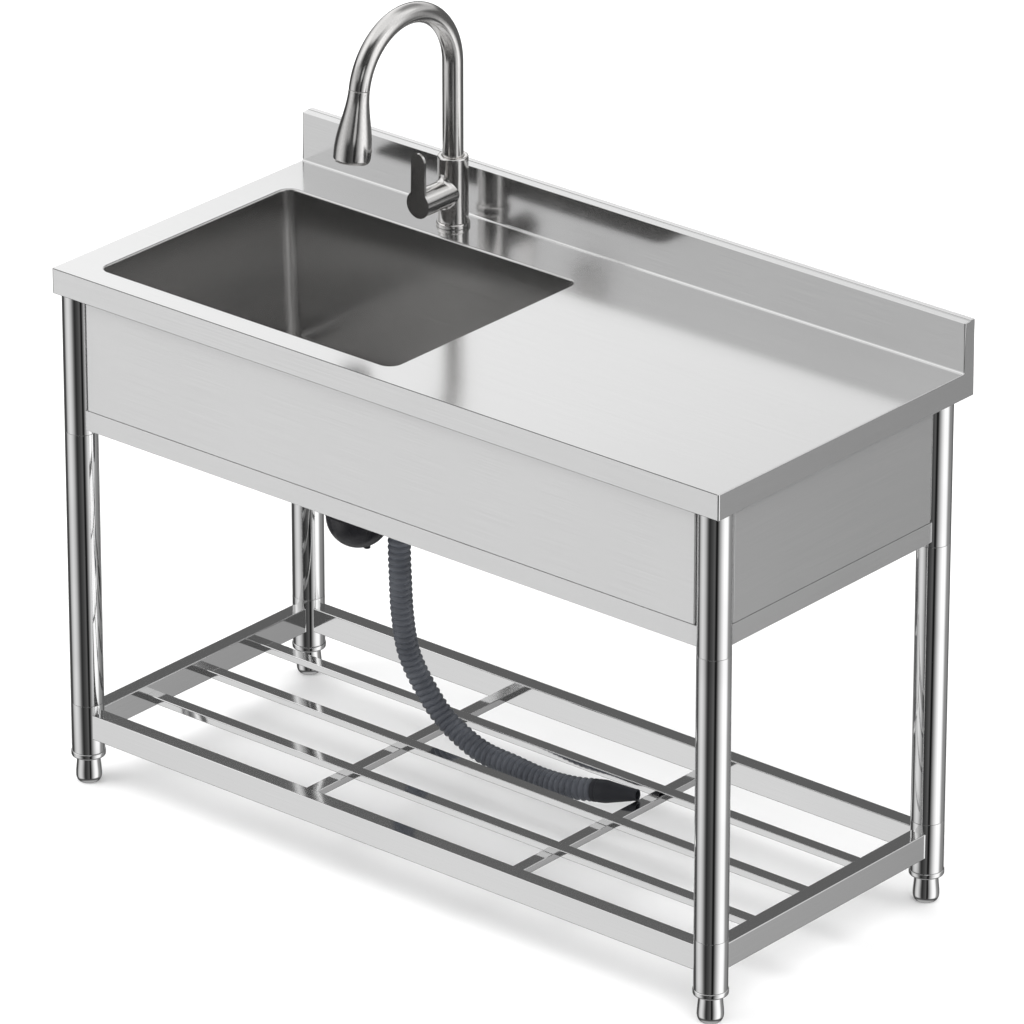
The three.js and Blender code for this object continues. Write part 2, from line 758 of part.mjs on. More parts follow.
const frameSides = [
  { side: 'front', alongX: true, place: legFront, half: panelHalfX, turn: 0, at: [0, legFront] },
  { side: 'back', alongX: true, place: legBack, half: panelHalfX, turn: Math.PI, at: [0, legBack] },
  { side: 'left', alongX: false, place: -legX, half: panelHalfY, turn: -Math.PI / 2, at: [-legX, legMiddle] },
  { side: 'right', alongX: false, place: legX, half: panelHalfY, turn: Math.PI / 2, at: [legX, legMiddle] },
];

for (const { side, alongX, place, half, turn, at } of frameSides) {
  const panel = skirtPanel(half).rotateZ(turn).translate(at[0], at[1], 0);
  add(`skirt_panel_${side}`, panel, satinSteel);
  add(`skirt_rail_${side}`, copedRail(alongX, place, SKIRT_RAIL_HEIGHT, skirtRailTop), satinSteel);
  add(`shelf_rail_${side}`, copedRail(alongX, place, SHELF_RAIL_HEIGHT, shelfRailTop), polishedSteel);
}

// ---- Shelf slats ----

const slatCorner = 1;
const slatBore = [SLAT_WIDTH - 2 * SLAT_WALL, SLAT_HEIGHT - 2 * SLAT_WALL];

for (let i = 0; i < SLAT_COUNT; i += 1) {
  const y = legMiddle + (i - (SLAT_COUNT - 1) / 2) * SLAT_PITCH;
  const z = slatTop - SLAT_HEIGHT / 2;
  const reach = legX - halfRail - SEAT_GAP;
  const outline = roundedOutline(y, z, SLAT_WIDTH, SLAT_HEIGHT, slatCorner, 1);
  const hole = roundedOutline(y, z, slatBore[0], slatBore[1], slatCorner / 2, 1);
  add(`shelf_slat_${i + 1}`, extrudeX(outline, -reach, reach, hole), polishedSteel);
}

const crossbarReach = [legFront + halfRail + SEAT_GAP, legBack - halfRail - SEAT_GAP];
for (const [name, side] of [['shelf_crossbar_left', -1], ['shelf_crossbar_right', 1]]) {
  const x = side * CROSSBAR_SPACING / 2;
  const z = crossbarTop - SLAT_HEIGHT / 2;
  const outline = roundedOutline(z, x, SLAT_HEIGHT, SLAT_WIDTH, slatCorner, 1);
  const hole = roundedOutline(z, x, slatBore[1], slatBore[0], slatCorner / 2, 1);
  add(name, extrudeY(outline, crossbarReach[0], crossbarReach[1], hole), polishedSteel);
}

// ---- Waste: basket strainer, bottle trap and hose ----

const drain = new THREE.Group();
drain.position.set(drainX, drainY, 0);
unit.add(drain);

function strainerBody() {
  const top = flangeBottom + STRAINER_FLANGE_THICKNESS;
  const cupBore = STRAINER_CUP_RADIUS - STRAINER_WALL;
  const tailBore = STRAINER_TAIL_RADIUS - STRAINER_WALL;
  return revolveRing([
    [tailBore, tailBottom],
    [STRAINER_TAIL_RADIUS, tailBottom],
    [STRAINER_TAIL_RADIUS, cupBottom - STRAINER_WALL],
    [STRAINER_CUP_RADIUS - 6, cupBottom - STRAINER_WALL],
    [STRAINER_CUP_RADIUS, cupBottom + 5],
    [STRAINER_CUP_RADIUS, flangeBottom],
    [STRAINER_FLANGE_RADIUS, flangeBottom],
    [STRAINER_FLANGE_RADIUS - 1, top],
    [cupBore + 2, top],
    [cupBore, top - 3],
    [cupBore, cupBottom + 5],
    [cupBore - 4.5, cupBottom],
    [tailBore, cupBottom],
  ]);
}

const gasketTop = recessFloor - SHEET - SEAT_GAP;
const locknutTop = gasketTop - GASKET_THICKNESS - SEAT_GAP;

function strainerGasket() {
  const bore = STRAINER_CUP_RADIUS + SEAT_GAP;
  return revolveRing([
    [bore, gasketTop - GASKET_THICKNESS],
    [STRAINER_FLANGE_RADIUS, gasketTop - GASKET_THICKNESS],
    [STRAINER_FLANGE_RADIUS, gasketTop],
    [bore, gasketTop],
  ]);
}

// A ring nut with square lugs for a wrench.
function strainerLocknut() {
  const points = [];
  const perLug = 4;
  for (let i = 0; i < LOCKNUT_LUGS * perLug; i += 1) {
    const angle = i / (LOCKNUT_LUGS * perLug) * 2 * Math.PI;
    const radius = i % perLug < 2 ? LOCKNUT_RADIUS : LOCKNUT_RADIUS - LOCKNUT_LUG_DEPTH;
    points.push(new THREE.Vector2(radius * Math.cos(angle), radius * Math.sin(angle)));
  }
  const bore = rod(STRAINER_CUP_RADIUS + SEAT_GAP, -1, LOCKNUT_HEIGHT + 1);
  return cut(extrude(points, LOCKNUT_HEIGHT), bore).translate(0, 0, locknutTop - LOCKNUT_HEIGHT);
}

// The lift-out basket: a slotted cup with a lifting knob on a stem.
function strainerBasket() {
  const floor = cupBottom + SEAT_GAP;
  const foot = BASKET_RADIUS - 6;
  const rim = floor + BASKET_HEIGHT;
  const knobZ = rim - BASKET_KNOB_RADIUS;
  const cup = revolve([
    [0, floor],
    [foot, floor],
    [BASKET_RADIUS - 1, floor + 6],
    [BASKET_RADIUS, rim - 2],
    [BASKET_RADIUS + 3, rim - 2],
    [BASKET_RADIUS + 3, rim - 2 + BASKET_WALL],
    [BASKET_RADIUS - BASKET_WALL, rim - 2 + BASKET_WALL],
    [BASKET_RADIUS - 1 - BASKET_WALL, floor + 6],
    [foot, floor + BASKET_WALL],
    [3, floor + BASKET_WALL],
    [3, knobZ - 4],
    [BASKET_KNOB_RADIUS, knobZ],
    [BASKET_KNOB_RADIUS - 2, knobZ + 5],
    [0, knobZ + BASKET_KNOB_RADIUS - 1],
  ]);
  const slots = Array.from({ length: BASKET_SLOTS }, (_, i) => {
    const half = BASKET_SLOT_WIDTH / 2;
    const slot = block(foot, BASKET_RADIUS + 2, -half, half, floor + 9, rim - 8);
    return slot.rotateZ(i / BASKET_SLOTS * 2 * Math.PI);
  });
  const floorSlots = Array.from({ length: BASKET_SLOTS / 2 }, (_, i) => {
    const slot = block(9, foot - 5, -2, 2, floor - 1, floor + BASKET_WALL + 1);
    return slot.rotateZ(i / BASKET_SLOTS * 4 * Math.PI);
  });
  return cut(cup, ...slots, ...floorSlots);
}

const neckBore = STRAINER_TAIL_RADIUS + SEAT_GAP;
const neckRadius = neckBore + TRAP_WALL + 1;

// Points of the trap's round end, for its outer or inner face.
function trapDome(radius) {
  const points = [];
  const steps = 5;
  for (let step = 0; step < steps; step += 1) {
    const angle = step / steps * Math.PI / 2;
    points.push([radius * Math.sin(angle), trapEquator - radius * Math.cos(angle)]);
  }
  return points;
}

// The bottle: a neck round the strainer's tail, a domed cup and an outlet on its right side.
function trapBody() {
  const inner = TRAP_RADIUS - TRAP_WALL;
  const bottle = revolve([
    ...trapDome(TRAP_RADIUS),
    [TRAP_RADIUS, trapEquator],
    [TRAP_RADIUS, trapShoulder],
    [TRAP_RADIUS - 8, trapShoulder + 9],
    [neckRadius, trapShoulderTop],
    [neckRadius, trapTop],
    [neckBore, trapTop],
    [neckBore, trapShoulderTop - TRAP_WALL],
    [inner - 8, trapShoulder + 9 - TRAP_WALL],
    [inner, trapShoulder - TRAP_WALL],
    [inner, trapEquator],
    ...trapDome(inner).reverse(),
  ]);
  const stubEnd = TRAP_RADIUS + OUTLET_STUB_LENGTH;
  const lieAlongX = (geometry) => geometry.rotateY(Math.PI / 2).translate(0, 0, outletZ);
  const stub = lieAlongX(rod(OUTLET_RADIUS, inner - 2, stubEnd, PIPE_SIDES));
  const cavity = rod(inner - SEAT_GAP, trapEquator, trapShoulder - TRAP_WALL);
  const port = lieAlongX(rod(OUTLET_RADIUS - OUTLET_WALL, inner - 12, stubEnd + 1, PIPE_SIDES));
  const plugDepth = Math.sqrt(TRAP_RADIUS ** 2 - TRAP_PLUG_OFFSET ** 2);
  const plug = rod(TRAP_PLUG_RADIUS, trapEquator - plugDepth - 2.5, trapEquator - plugDepth + 2, 12);
  return cut(join(bottle, cut(stub, cavity), plug.translate(TRAP_PLUG_OFFSET, 0, 0)), port);
}

function trapNut() {
  const top = trapTop + SEAT_GAP + TRAP_NUT_LIP;
  const bottom = trapShoulderTop + SEAT_GAP;
  const outer = neckRadius + SEAT_GAP + TRAP_NUT_WALL;
  return revolveRing([
    [neckRadius + SEAT_GAP, bottom],
    [outer, bottom],
    [outer, top - 2],
    [outer - 2, top],
    [neckBore, top],
    [neckBore, trapTop + SEAT_GAP],
    [neckRadius + SEAT_GAP, trapTop + SEAT_GAP],
  ]);
}

// The elbow that turns the outlet down, with a collar for the hose.
function outletElbow() {
  const start = new THREE.Vector3(hoseX - drainX - ELBOW_BEND_RADIUS, 0, outletZ);
  const down = new THREE.Vector3(0, 0, -1);
  const stations = bentStations(
    start,
    axisX,
    down,
    0,
    ELBOW_BEND_RADIUS,
    Math.PI / 2,
    6,
    ELBOW_TAIL_LENGTH,
  );
  const bend = pipeThrough(stations, axisY, OUTLET_RADIUS, OUTLET_WALL);
  const bore = OUTLET_RADIUS - OUTLET_WALL / 2;
  const collar = revolveRing([
    [bore, elbowEnd],
    [ELBOW_COLLAR_RADIUS, elbowEnd],
    [ELBOW_COLLAR_RADIUS, elbowEnd + ELBOW_COLLAR_HEIGHT],
    [bore, elbowEnd + ELBOW_COLLAR_HEIGHT],
  ], PIPE_SIDES).translate(hoseX - drainX, 0, 0);
  return join(bend, collar);
}

add('strainer_body', strainerBody(), bowlSteel, drain);
add('strainer_gasket', strainerGasket(), darkRubber, drain);
add('strainer_locknut', strainerLocknut(), blackPlastic, drain);
add('strainer_basket', strainerBasket(), bowlSteel, drain);
add('trap_body', trapBody(), blackPlastic, drain);
add('trap_nut', trapNut(), blackPlastic, drain);
add('outlet_elbow', outletElbow(), blackPlastic, drain);

const cuffStart = new THREE.Vector3(...CUFF_START);
// Where the cuff's axis passes over the near edge of the right cross bar.
const cuffRest = new THREE.Vector3(
  CROSSBAR_SPACING / 2 - SLAT_WIDTH / 2,
  CUFF_START[1] + CUFF_SHIFT_BACK,
  crossbarTop + CUFF_TIP_RADIUS + 2 * SEAT_GAP,
);
const cuffAxis = cuffRest.clone().sub(cuffStart).normalize();

// The ribbed hose: outer rings step between root and crest, and the bore runs plain inside.
function drainHose() {
  const top = new THREE.Vector3(hoseX, drainY, elbowEnd - SEAT_GAP);
  const end = cuffStart.clone().addScaledVector(cuffAxis, -SEAT_GAP);
  const curve = new THREE.CatmullRomCurve3([
    top,
    top.clone().add(new THREE.Vector3(0, 0, -HOSE_STRAIGHT_RUN)),
    ...HOSE_ROUTE.map((place) => new THREE.Vector3(...place)),
    end.clone().addScaledVector(cuffAxis, -HOSE_STRAIGHT_RUN),
    end,
  ], false, 'centripetal');
  curve.arcLengthDivisions = 400;
  const ribs = Math.round(curve.getLength() / HOSE_RIB_PITCH);
  const steps = 2 * ribs;
  const frames = curve.computeFrenetFrames(steps, false);
  frames.tangents[0].set(0, 0, -1);
  frames.tangents[steps].copy(cuffAxis);
  const ringAt = (step, radius) => {
    const station = { centre: curve.getPointAt(step / steps), tangent: frames.tangents[step] };
    const across = frames.normals[step].clone();
    across.addScaledVector(station.tangent, -across.dot(station.tangent)).normalize();
    return ringAround(station, across, radius, HOSE_SIDES);
  };
  const rings = [];
  for (let step = 0; step <= steps; step += 1) {
    rings.push(ringAt(step, step % 2 === 0 ? HOSE_ROOT_RADIUS : HOSE_CREST_RADIUS));
  }
  const boreSteps = [];
  for (let step = steps; step > 0; step -= 2 * HOSE_RIBS_PER_BORE_RING) {
    boreSteps.push(step);
  }
  boreSteps.push(0);
  boreSteps.forEach((step) => rings.push(ringAt(step, HOSE_BORE_RADIUS)));
  return skinLoop(rings);
}

function hoseCuff() {
  const cuff = revolveRing([
    [CUFF_BORE_RADIUS, 0],
    [CUFF_RADIUS, 0],
    [CUFF_RADIUS, CUFF_GRIP_LENGTH],
    [CUFF_TIP_RADIUS, CUFF_LENGTH - CUFF_TIP_LENGTH],
    [CUFF_TIP_RADIUS, CUFF_LENGTH],
    [CUFF_BORE_RADIUS, CUFF_LENGTH],
  ], PIPE_SIDES);
  const turn = new THREE.Quaternion().setFromUnitVectors(axisZ, cuffAxis);
  return cuff.applyQuaternion(turn).translate(cuffStart.x, cuffStart.y, cuffStart.z);
}

add('drain_hose', drainHose(), greyHose);
add('hose_cuff', hoseCuff(), darkRubber);

// ---- Mixer tap ----

const tap = new THREE.Group();
tap.position.set(tapX, tapY, 0);
unit.add(tap);

// Turns a shape made along +Z so that it lies along -Y from the tap's axis at the arm's height.
function lieOnArm(geometry) {
  return geometry.rotateX(Math.PI / 2).translate(0, 0, armZ);
}

function baseRing() {
  const bottom = WORKTOP_HEIGHT + SEAT_GAP;
  const top = WORKTOP_HEIGHT + BASE_RING_HEIGHT;
  const bore = TAP_SHANK_RADIUS + SEAT_GAP;
  return revolveRing([
    [bore, bottom],
    [BASE_RING_RADIUS, bottom],
    [BASE_RING_RADIUS, top - 2],
    [BASE_RING_RADIUS - 1.8, top],
    [bore, top],
  ]);
}

// The arm's root swells above and below where it meets the body, and keeps its width.
function armRoot() {
  const stations = [0, 0.35, 0.65, 0.85, 1];
  const rings = stations.map((share) => {
    const out = TAP_BODY_RADIUS + ARM_FLARE * (1 - share);
    const swell = ARM_FLARE * (1 - Math.sqrt(1 - share ** 2));
    return { out, tall: ARM_RADIUS + swell };
  });
  rings.push({ out: TAP_BODY_RADIUS / 2, tall: ARM_RADIUS + ARM_FLARE });
  const points = rings.map(({ out, tall }) => Array.from({ length: ROUND_SIDES }, (_, i) => {
    const angle = i / ROUND_SIDES * 2 * Math.PI;
    const x = (ARM_RADIUS - 0.2) * Math.cos(angle);
    return new THREE.Vector3(x, -out, armZ - tall * Math.sin(angle));
  }));
  const centres = [points[0], points[points.length - 1]].map((ring) => {
    const middle = new THREE.Vector3(0, ring[0].y, armZ);
    return ring.map(() => middle.clone());
  });
  return skinLoop([centres[0], ...points, centres[1]]);
}

function tapBody() {
  const bottom = WORKTOP_HEIGHT + BASE_RING_HEIGHT + SEAT_GAP;
  const shankEnd = WORKTOP_HEIGHT - TAP_SHANK_LENGTH;
  const socket = SPOUT_RADIUS + 1.3 * SEAT_GAP;
  const socketFloor = tapBodyTop - TAP_SOCKET_DEPTH;
  const column = revolve([
    [0, shankEnd],
    [TAP_SHANK_RADIUS, shankEnd],
    [TAP_SHANK_RADIUS, bottom],
    [TAP_BODY_RADIUS, bottom],
    [TAP_BODY_RADIUS, tapBodyTop - 2],
    [TAP_BODY_RADIUS - 0.6, tapBodyTop - 0.6],
    [TAP_BODY_RADIUS - 2, tapBodyTop],
    [0, tapBodyTop],
  ]);
  const arm = lieOnArm(rod(ARM_RADIUS, 0, ARM_REACH));
  const chamber = lieOnArm(rod(CARTRIDGE_RADIUS + SEAT_GAP, ARM_REACH - CARTRIDGE_DEPTH - 2, ARM_REACH + 1));
  const bore = revolve([
    [0, shankEnd - 1],
    [TAP_WATER_BORE, shankEnd - 1],
    [TAP_WATER_BORE, socketFloor],
    [socket, socketFloor],
    [socket, tapBodyTop + 1],
    [0, tapBodyTop + 1],
  ]);
  return cut(join(column, arm, armRoot()), bore, chamber);
}

function mountingNut() {
  const top = underDeck;
  const hexagon = rod(TAP_NUT_RADIUS, top - TAP_NUT_HEIGHT, top, 6);
  const bore = rod(TAP_SHANK_RADIUS + SEAT_GAP, top - TAP_NUT_HEIGHT - 1, top + 1);
  return cut(hexagon, bore);
}

function cartridge() {
  const seat = ARM_REACH - CARTRIDGE_DEPTH - 2 + SEAT_GAP;
  const face = ARM_REACH - 2;
  return lieOnArm(revolve([
    [0, seat],
    [CARTRIDGE_RADIUS, seat],
    [CARTRIDGE_RADIUS, face - 4],
    [CARTRIDGE_RADIUS - 3, face],
    [0, face],
  ]));
}

function turret() {
  const start = ARM_REACH - 2 + SEAT_GAP;
  return lieOnArm(revolve([
    [0, start],
    [TURRET_RADIUS, start],
    [TURRET_RADIUS, start + TURRET_LENGTH - 3],
    [TURRET_RADIUS - 3, start + TURRET_LENGTH],
    [0, start + TURRET_LENGTH],
  ], PIPE_SIDES));
}

// The handle: a hub that covers the turret, and a flat lever rising flush with its front face.
function mixerHandle() {
  const start = ARM_REACH + SEAT_GAP;
  const face = start + HUB_LENGTH;
  const hub = lieOnArm(revolve([
    [0, start],
    [HUB_RADIUS, start],
    [HUB_RADIUS, face - 0.8],
    [HUB_RADIUS - 0.8, face],
    [0, face],
  ]));
  const half = LEVER_WIDTH / 2;
  const tip = LEVER_TIP_WIDTH / 2;
  const lever = new THREE.Shape();
  lever.moveTo(-half, 0);
  lever.lineTo(half, 0);
  lever.lineTo(tip, LEVER_LENGTH - tip);
  lever.absarc(0, LEVER_LENGTH - tip, tip, 0, Math.PI, false);
  const plate = new THREE.ExtrudeGeometry(
    lever,
    { depth: LEVER_THICKNESS, bevelEnabled: false, curveSegments: 10 },
  ).rotateX(Math.PI / 2).translate(0, LEVER_THICKNESS - face, armZ);
  const cavity = lieOnArm(rod(HUB_CAVITY_RADIUS, start - 1, start + HUB_CAVITY_DEPTH));
  return cut(join(hub, plate), cavity);
}

add('tap_base_ring', baseRing(), tapSteel, tap);
add('tap_body', tapBody(), tapSteel, tap);
add('tap_mounting_nut', mountingNut(), tapSteel, tap);
add('mixer_cartridge', cartridge(), palePlastic, tap);
add('cartridge_turret', turret(), palePlastic, tap);
add('mixer_handle', mixerHandle(), tapSteel, tap);

// The swan-neck spout: a straight riser in the body's socket, then the arch towards the bowl.
function spout() {
  const stations = bentStations(
    new THREE.Vector3(tapX, tapY, spoutStart),
    axisZ,
    new THREE.Vector3(0, -1, 0),
    tapBodyTop + SPOUT_RISE - spoutStart,
    SPOUT_ARCH_RADIUS,
    archLean,
    16,
  );
  return pipeThrough(stations, axisX, SPOUT_RADIUS, SPOUT_WALL);
}

// The spray head along its own axis, from the top of its hose tail to the mouth.
function sprayHead() {
  const neck = SPOUT_RADIUS;
  const profile = [[HEAD_TAIL_RADIUS, -HEAD_TAIL_LENGTH]];
  profile.push([HEAD_TAIL_RADIUS, 0], [neck - 0.5, 0], [neck, 0.5]);
  const steps = 7;
  for (let step = 1; step <= steps; step += 1) {
    const share = step / steps;
    const blend = share * share * (3 - 2 * share);
    profile.push([neck + (HEAD_BULGE_RADIUS - neck) * blend, 0.5 + (HEAD_BULGE_AT - 0.5) * share]);
  }
  profile.push(
    [HEAD_BULGE_RADIUS - 0.4, (HEAD_BULGE_AT + HEAD_LENGTH) / 2],
    [HEAD_MOUTH_RADIUS, HEAD_LENGTH - 1.5],
    [HEAD_MOUTH_RADIUS - 1.5, HEAD_LENGTH],
    [NOZZLE_RADIUS + SEAT_GAP, HEAD_LENGTH],
    [NOZZLE_RADIUS + SEAT_GAP, HEAD_LENGTH - NOZZLE_THICKNESS],
    [HEAD_BORE_RADIUS, HEAD_LENGTH - NOZZLE_THICKNESS],
    [neck / 2, neck],
    [HEAD_TAIL_RADIUS / 2, neck - 4],
    [HEAD_TAIL_RADIUS / 2, -HEAD_TAIL_LENGTH],
  );
  return revolveRing(profile);
}

// The spray face: a disc with a central opening and a ring of jets.
function sprayNozzle() {
  const bottom = HEAD_LENGTH - NOZZLE_THICKNESS + SEAT_GAP;
  const top = HEAD_LENGTH - 0.5;
  const disc = revolve([
    [0, bottom],
    [NOZZLE_RADIUS, bottom],
    [NOZZLE_RADIUS, top - 1],
    [NOZZLE_RADIUS - 1.5, top],
    [8, top],
    [7, top - 2.5],
    [0, top - 2.5],
  ]);
  const jets = Array.from({ length: NOZZLE_JETS }, (_, i) => {
    const jet = rod(NOZZLE_JET_RADIUS, top - 2, top + 1, 6).translate(13, 0, 0);
    return jet.rotateZ(i / NOZZLE_JETS * 2 * Math.PI);
  });
  return cut(disc, ...jets);
}

add('spout', spout(), tapSteel);
const head = new THREE.Group();
head.position.copy(spoutEnd).addScaledVector(headAxis, SEAT_GAP);
head.quaternion.setFromUnitVectors(axisZ, headAxis);
unit.add(head);
add('spray_head', sprayHead(), tapSteel, head);
add('spray_nozzle', sprayNozzle(), darkRubber, head);

export default unit;
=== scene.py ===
import math
import bmesh
import bpy
from mathutils import Matrix, Vector


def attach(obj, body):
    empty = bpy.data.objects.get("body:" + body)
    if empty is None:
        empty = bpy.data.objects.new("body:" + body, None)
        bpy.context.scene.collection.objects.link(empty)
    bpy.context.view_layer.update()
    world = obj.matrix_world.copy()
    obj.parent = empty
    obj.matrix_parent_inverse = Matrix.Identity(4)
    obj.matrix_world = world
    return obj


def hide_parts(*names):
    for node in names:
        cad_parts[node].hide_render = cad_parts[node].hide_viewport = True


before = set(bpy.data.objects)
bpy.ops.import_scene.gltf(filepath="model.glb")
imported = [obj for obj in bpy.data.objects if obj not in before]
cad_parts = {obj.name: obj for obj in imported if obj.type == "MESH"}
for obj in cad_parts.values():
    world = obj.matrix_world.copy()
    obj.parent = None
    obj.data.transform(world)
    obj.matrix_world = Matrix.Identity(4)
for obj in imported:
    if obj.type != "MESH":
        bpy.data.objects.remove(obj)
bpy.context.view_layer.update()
mm = 0.001
scene = bpy.context.scene

# Shared places in millimetres, in the part's own frame: X right, Y back, Z up, floor at 0.
unit = {"halfWidth": 600, "front": -275, "back": 275, "top": 795, "splashFront": 253, "splashTop": 870}
legs = {"x": 574, "front": -249, "back": 227, "radius": 24, "top": 793.5, "fit": 0.3}
corners = {"front_left": (-1, "front"), "front_right": (1, "front"), "back_left": (-1, "back"),
           "back_right": (1, "back")}
joints = {"upper": 548, "lower": 125, "foot": 49}
drain = Vector((-277, 2, 0))
tap = {"x": -277, "y": 209.5, "armHeight": 848}
tapCentre = Vector((tap["x"], tap["y"], 0))
# The tap's arm lies along this frame's own Z, towards the front.
armPlace = Matrix.Translation((tap["x"], tap["y"], tap["armHeight"])) @ Matrix.Rotation(math.pi / 2, 4, "X")


def linked(name, data):
    made = bpy.data.objects.new(name, data)
    scene.collection.objects.link(made)
    return made


def placeCamera():
    view = {"azimuth": 40.326, "elevation": 24.269, "distance": 12180.045, "lens": 306.96, "sensor": 36,
            "farEnd": 100, "target": (-11.411, 25.0, 489.681)}
    a = math.radians(view["azimuth"])
    e = math.radians(view["elevation"])
    away = Vector((math.sin(a) * math.cos(e), -math.cos(a) * math.cos(e), math.sin(e)))
    right = Vector((math.cos(a), math.sin(a), 0))
    data = bpy.data.cameras.new("camera")
    data.lens = view["lens"]
    data.sensor_width = view["sensor"]
    data.clip_end = view["farEnd"]
    camera = linked("camera", data)
    turn = Matrix((right, away.cross(right), away)).transposed().to_4x4()
    spot = (Vector(view["target"]) + away * view["distance"]) * mm
    camera.matrix_world = Matrix.Translation(spot) @ turn
    scene.camera = camera


placeCamera()


# A socket that can be added, multiplied and so on, which lays the nodes that do it.
class Value:
    def __init__(self, graph, socket):
        self.graph = graph
        self.socket = socket

    def math(self, operation, *others):
        return self.graph.math(operation, self, *others)


def addOperator(name, operation):
    setattr(Value, f"__{name}__", lambda self, other: self.graph.math(operation, self, other))
    setattr(Value, f"__r{name}__", lambda self, other: self.graph.math(operation, other, self))


for name, operation in (("add", "ADD"), ("sub", "SUBTRACT"), ("mul", "MULTIPLY"), ("truediv", "DIVIDE"),
                        ("pow", "POWER")):
    addOperator(name, operation)


class Graph:
    def __init__(self, tree):
        self.tree = tree

    def node(self, kind, settings=None, sockets=None):
        made = self.tree.nodes.new(kind)
        for name, value in (settings or {}).items():
            if name == "stops":
                ramp = made.color_ramp
                while len(ramp.elements) < len(value):
                    ramp.elements.new(0.5)
                for element, (place, level) in zip(ramp.elements, value):
                    element.position = place
                    element.color = (level, level, level, 1)
            else:
                setattr(made, name, value)
        for name, value in (sockets or {}).items():
            socket = made.inputs[name]
            if isinstance(value, Value):
                self.tree.links.new(value.socket, socket)
            else:
                socket.default_value = value
        return made

    def take(self, kind, settings=None, sockets=None, out=0):
        return Value(self, self.node(kind, settings, sockets).outputs[out])

    def split(self, vector):
        parts = self.node("ShaderNodeSeparateXYZ", None, {0: vector})
        return [Value(self, socket) for socket in parts.outputs]

    def vector(self, **parts):
        return self.take("ShaderNodeCombineXYZ", None, {axis.upper(): part for axis, part in parts.items()})

    def math(self, operation, *values):
        return self.take("ShaderNodeMath", {"operation": operation}, dict(enumerate(values)))

    def smoothStep(self, value, low, high):
        return self.take("ShaderNodeMapRange", {"interpolation_type": "SMOOTHSTEP"},
                         {"Value": value, "From Min": low, "From Max": high})

    def mixColour(self, factor, look):
        colours = {0: factor, 6: look["dark"], 7: look["light"]}
        return self.take("ShaderNodeMix", {"data_type": "RGBA"}, colours, out=2)

    def noise(self, point, scale, detail=2.0, roughness=0.5):
        return self.take("ShaderNodeTexNoise", None,
                         {"Vector": point, "Scale": scale, "Detail": detail, "Roughness": roughness})

    def grain(self, point, scale):
        # Fine noise, finer along some axes where scale is a list.
        if isinstance(scale, list):
            point = self.take("ShaderNodeMapping", None, {"Vector": point, "Scale": scale})
            scale = 1.0
        return self.noise(point, scale, 3.0, 0.6)

    def bump(self, height, depth):
        return self.take("ShaderNodeBump", None, {"Height": height, "Distance": depth * mm, "Strength": 1.0})


def blankMaterial(name, shaderKind, sockets):
    material = bpy.data.materials.new(name)
    material.use_nodes = True
    material.node_tree.nodes.clear()
    graph = Graph(material.node_tree)
    shader = graph.node(shaderKind, None, sockets)
    graph.node("ShaderNodeOutputMaterial", None, {"Surface": Value(graph, shader.outputs[0])})
    return material, graph, shader


def newMaterial(name, metallic=0.0):
    material, graph, shader = blankMaterial(name, "ShaderNodeBsdfPrincipled", {"Metallic": metallic})
    point = graph.take("ShaderNodeTexCoord", out="Object")

    def feed(colour, roughness, normal=None):
        for label, value in (("Base Color", colour), ("Roughness", roughness), ("Normal", normal)):
            if value:
                graph.tree.links.new(value.socket, shader.inputs[label])

    return material, graph, point, feed


def grey(value, warm=0.0):
    return (value + warm, value, value - warm, 1)


def brushedSteel(name, look):
    # Fine streaks run along one axis; a slow cloud keeps large sheets from looking printed.
    material, graph, point, feed = newMaterial(name, look["metallic"])

    def streaksAlong(axis):
        scale = [look["grain"]] * 3
        scale[axis] = look["grain"] * look["streak"]
        return graph.grain(point, scale)

    along = look["along"]
    streaks = streaksAlong(along)
    if along < 2:
        # Faces across the streaks get lines the other way, or they would look speckled.
        facing = graph.split(graph.take("ShaderNodeTexCoord", out="Normal"))[along]
        across = graph.smoothStep(facing.math("ABSOLUTE"), 0.6, 0.8)
        streaks = streaks * (1 - across) + streaksAlong(1 - along) * across
    cloud = graph.noise(point, look["cloudScale"])
    rough = look["roughness"] + (streaks - 0.5) * look["streakRoughness"]
    tone = graph.smoothStep(streaks * 0.7 + cloud * 0.3, 0.3, 0.7)
    feed(graph.mixColour(tone, look), rough + (cloud - 0.5) * look["cloudRoughness"],
         graph.bump(streaks, look["depth"]))
    return material


satin = {"dark": grey(0.76), "light": grey(0.81), "grain": 1300, "streak": 0.006, "along": 0,
         "cloudScale": 3.0, "roughness": 0.15, "streakRoughness": 0.06, "cloudRoughness": 0.03,
         "depth": 0.008, "metallic": 1.0}
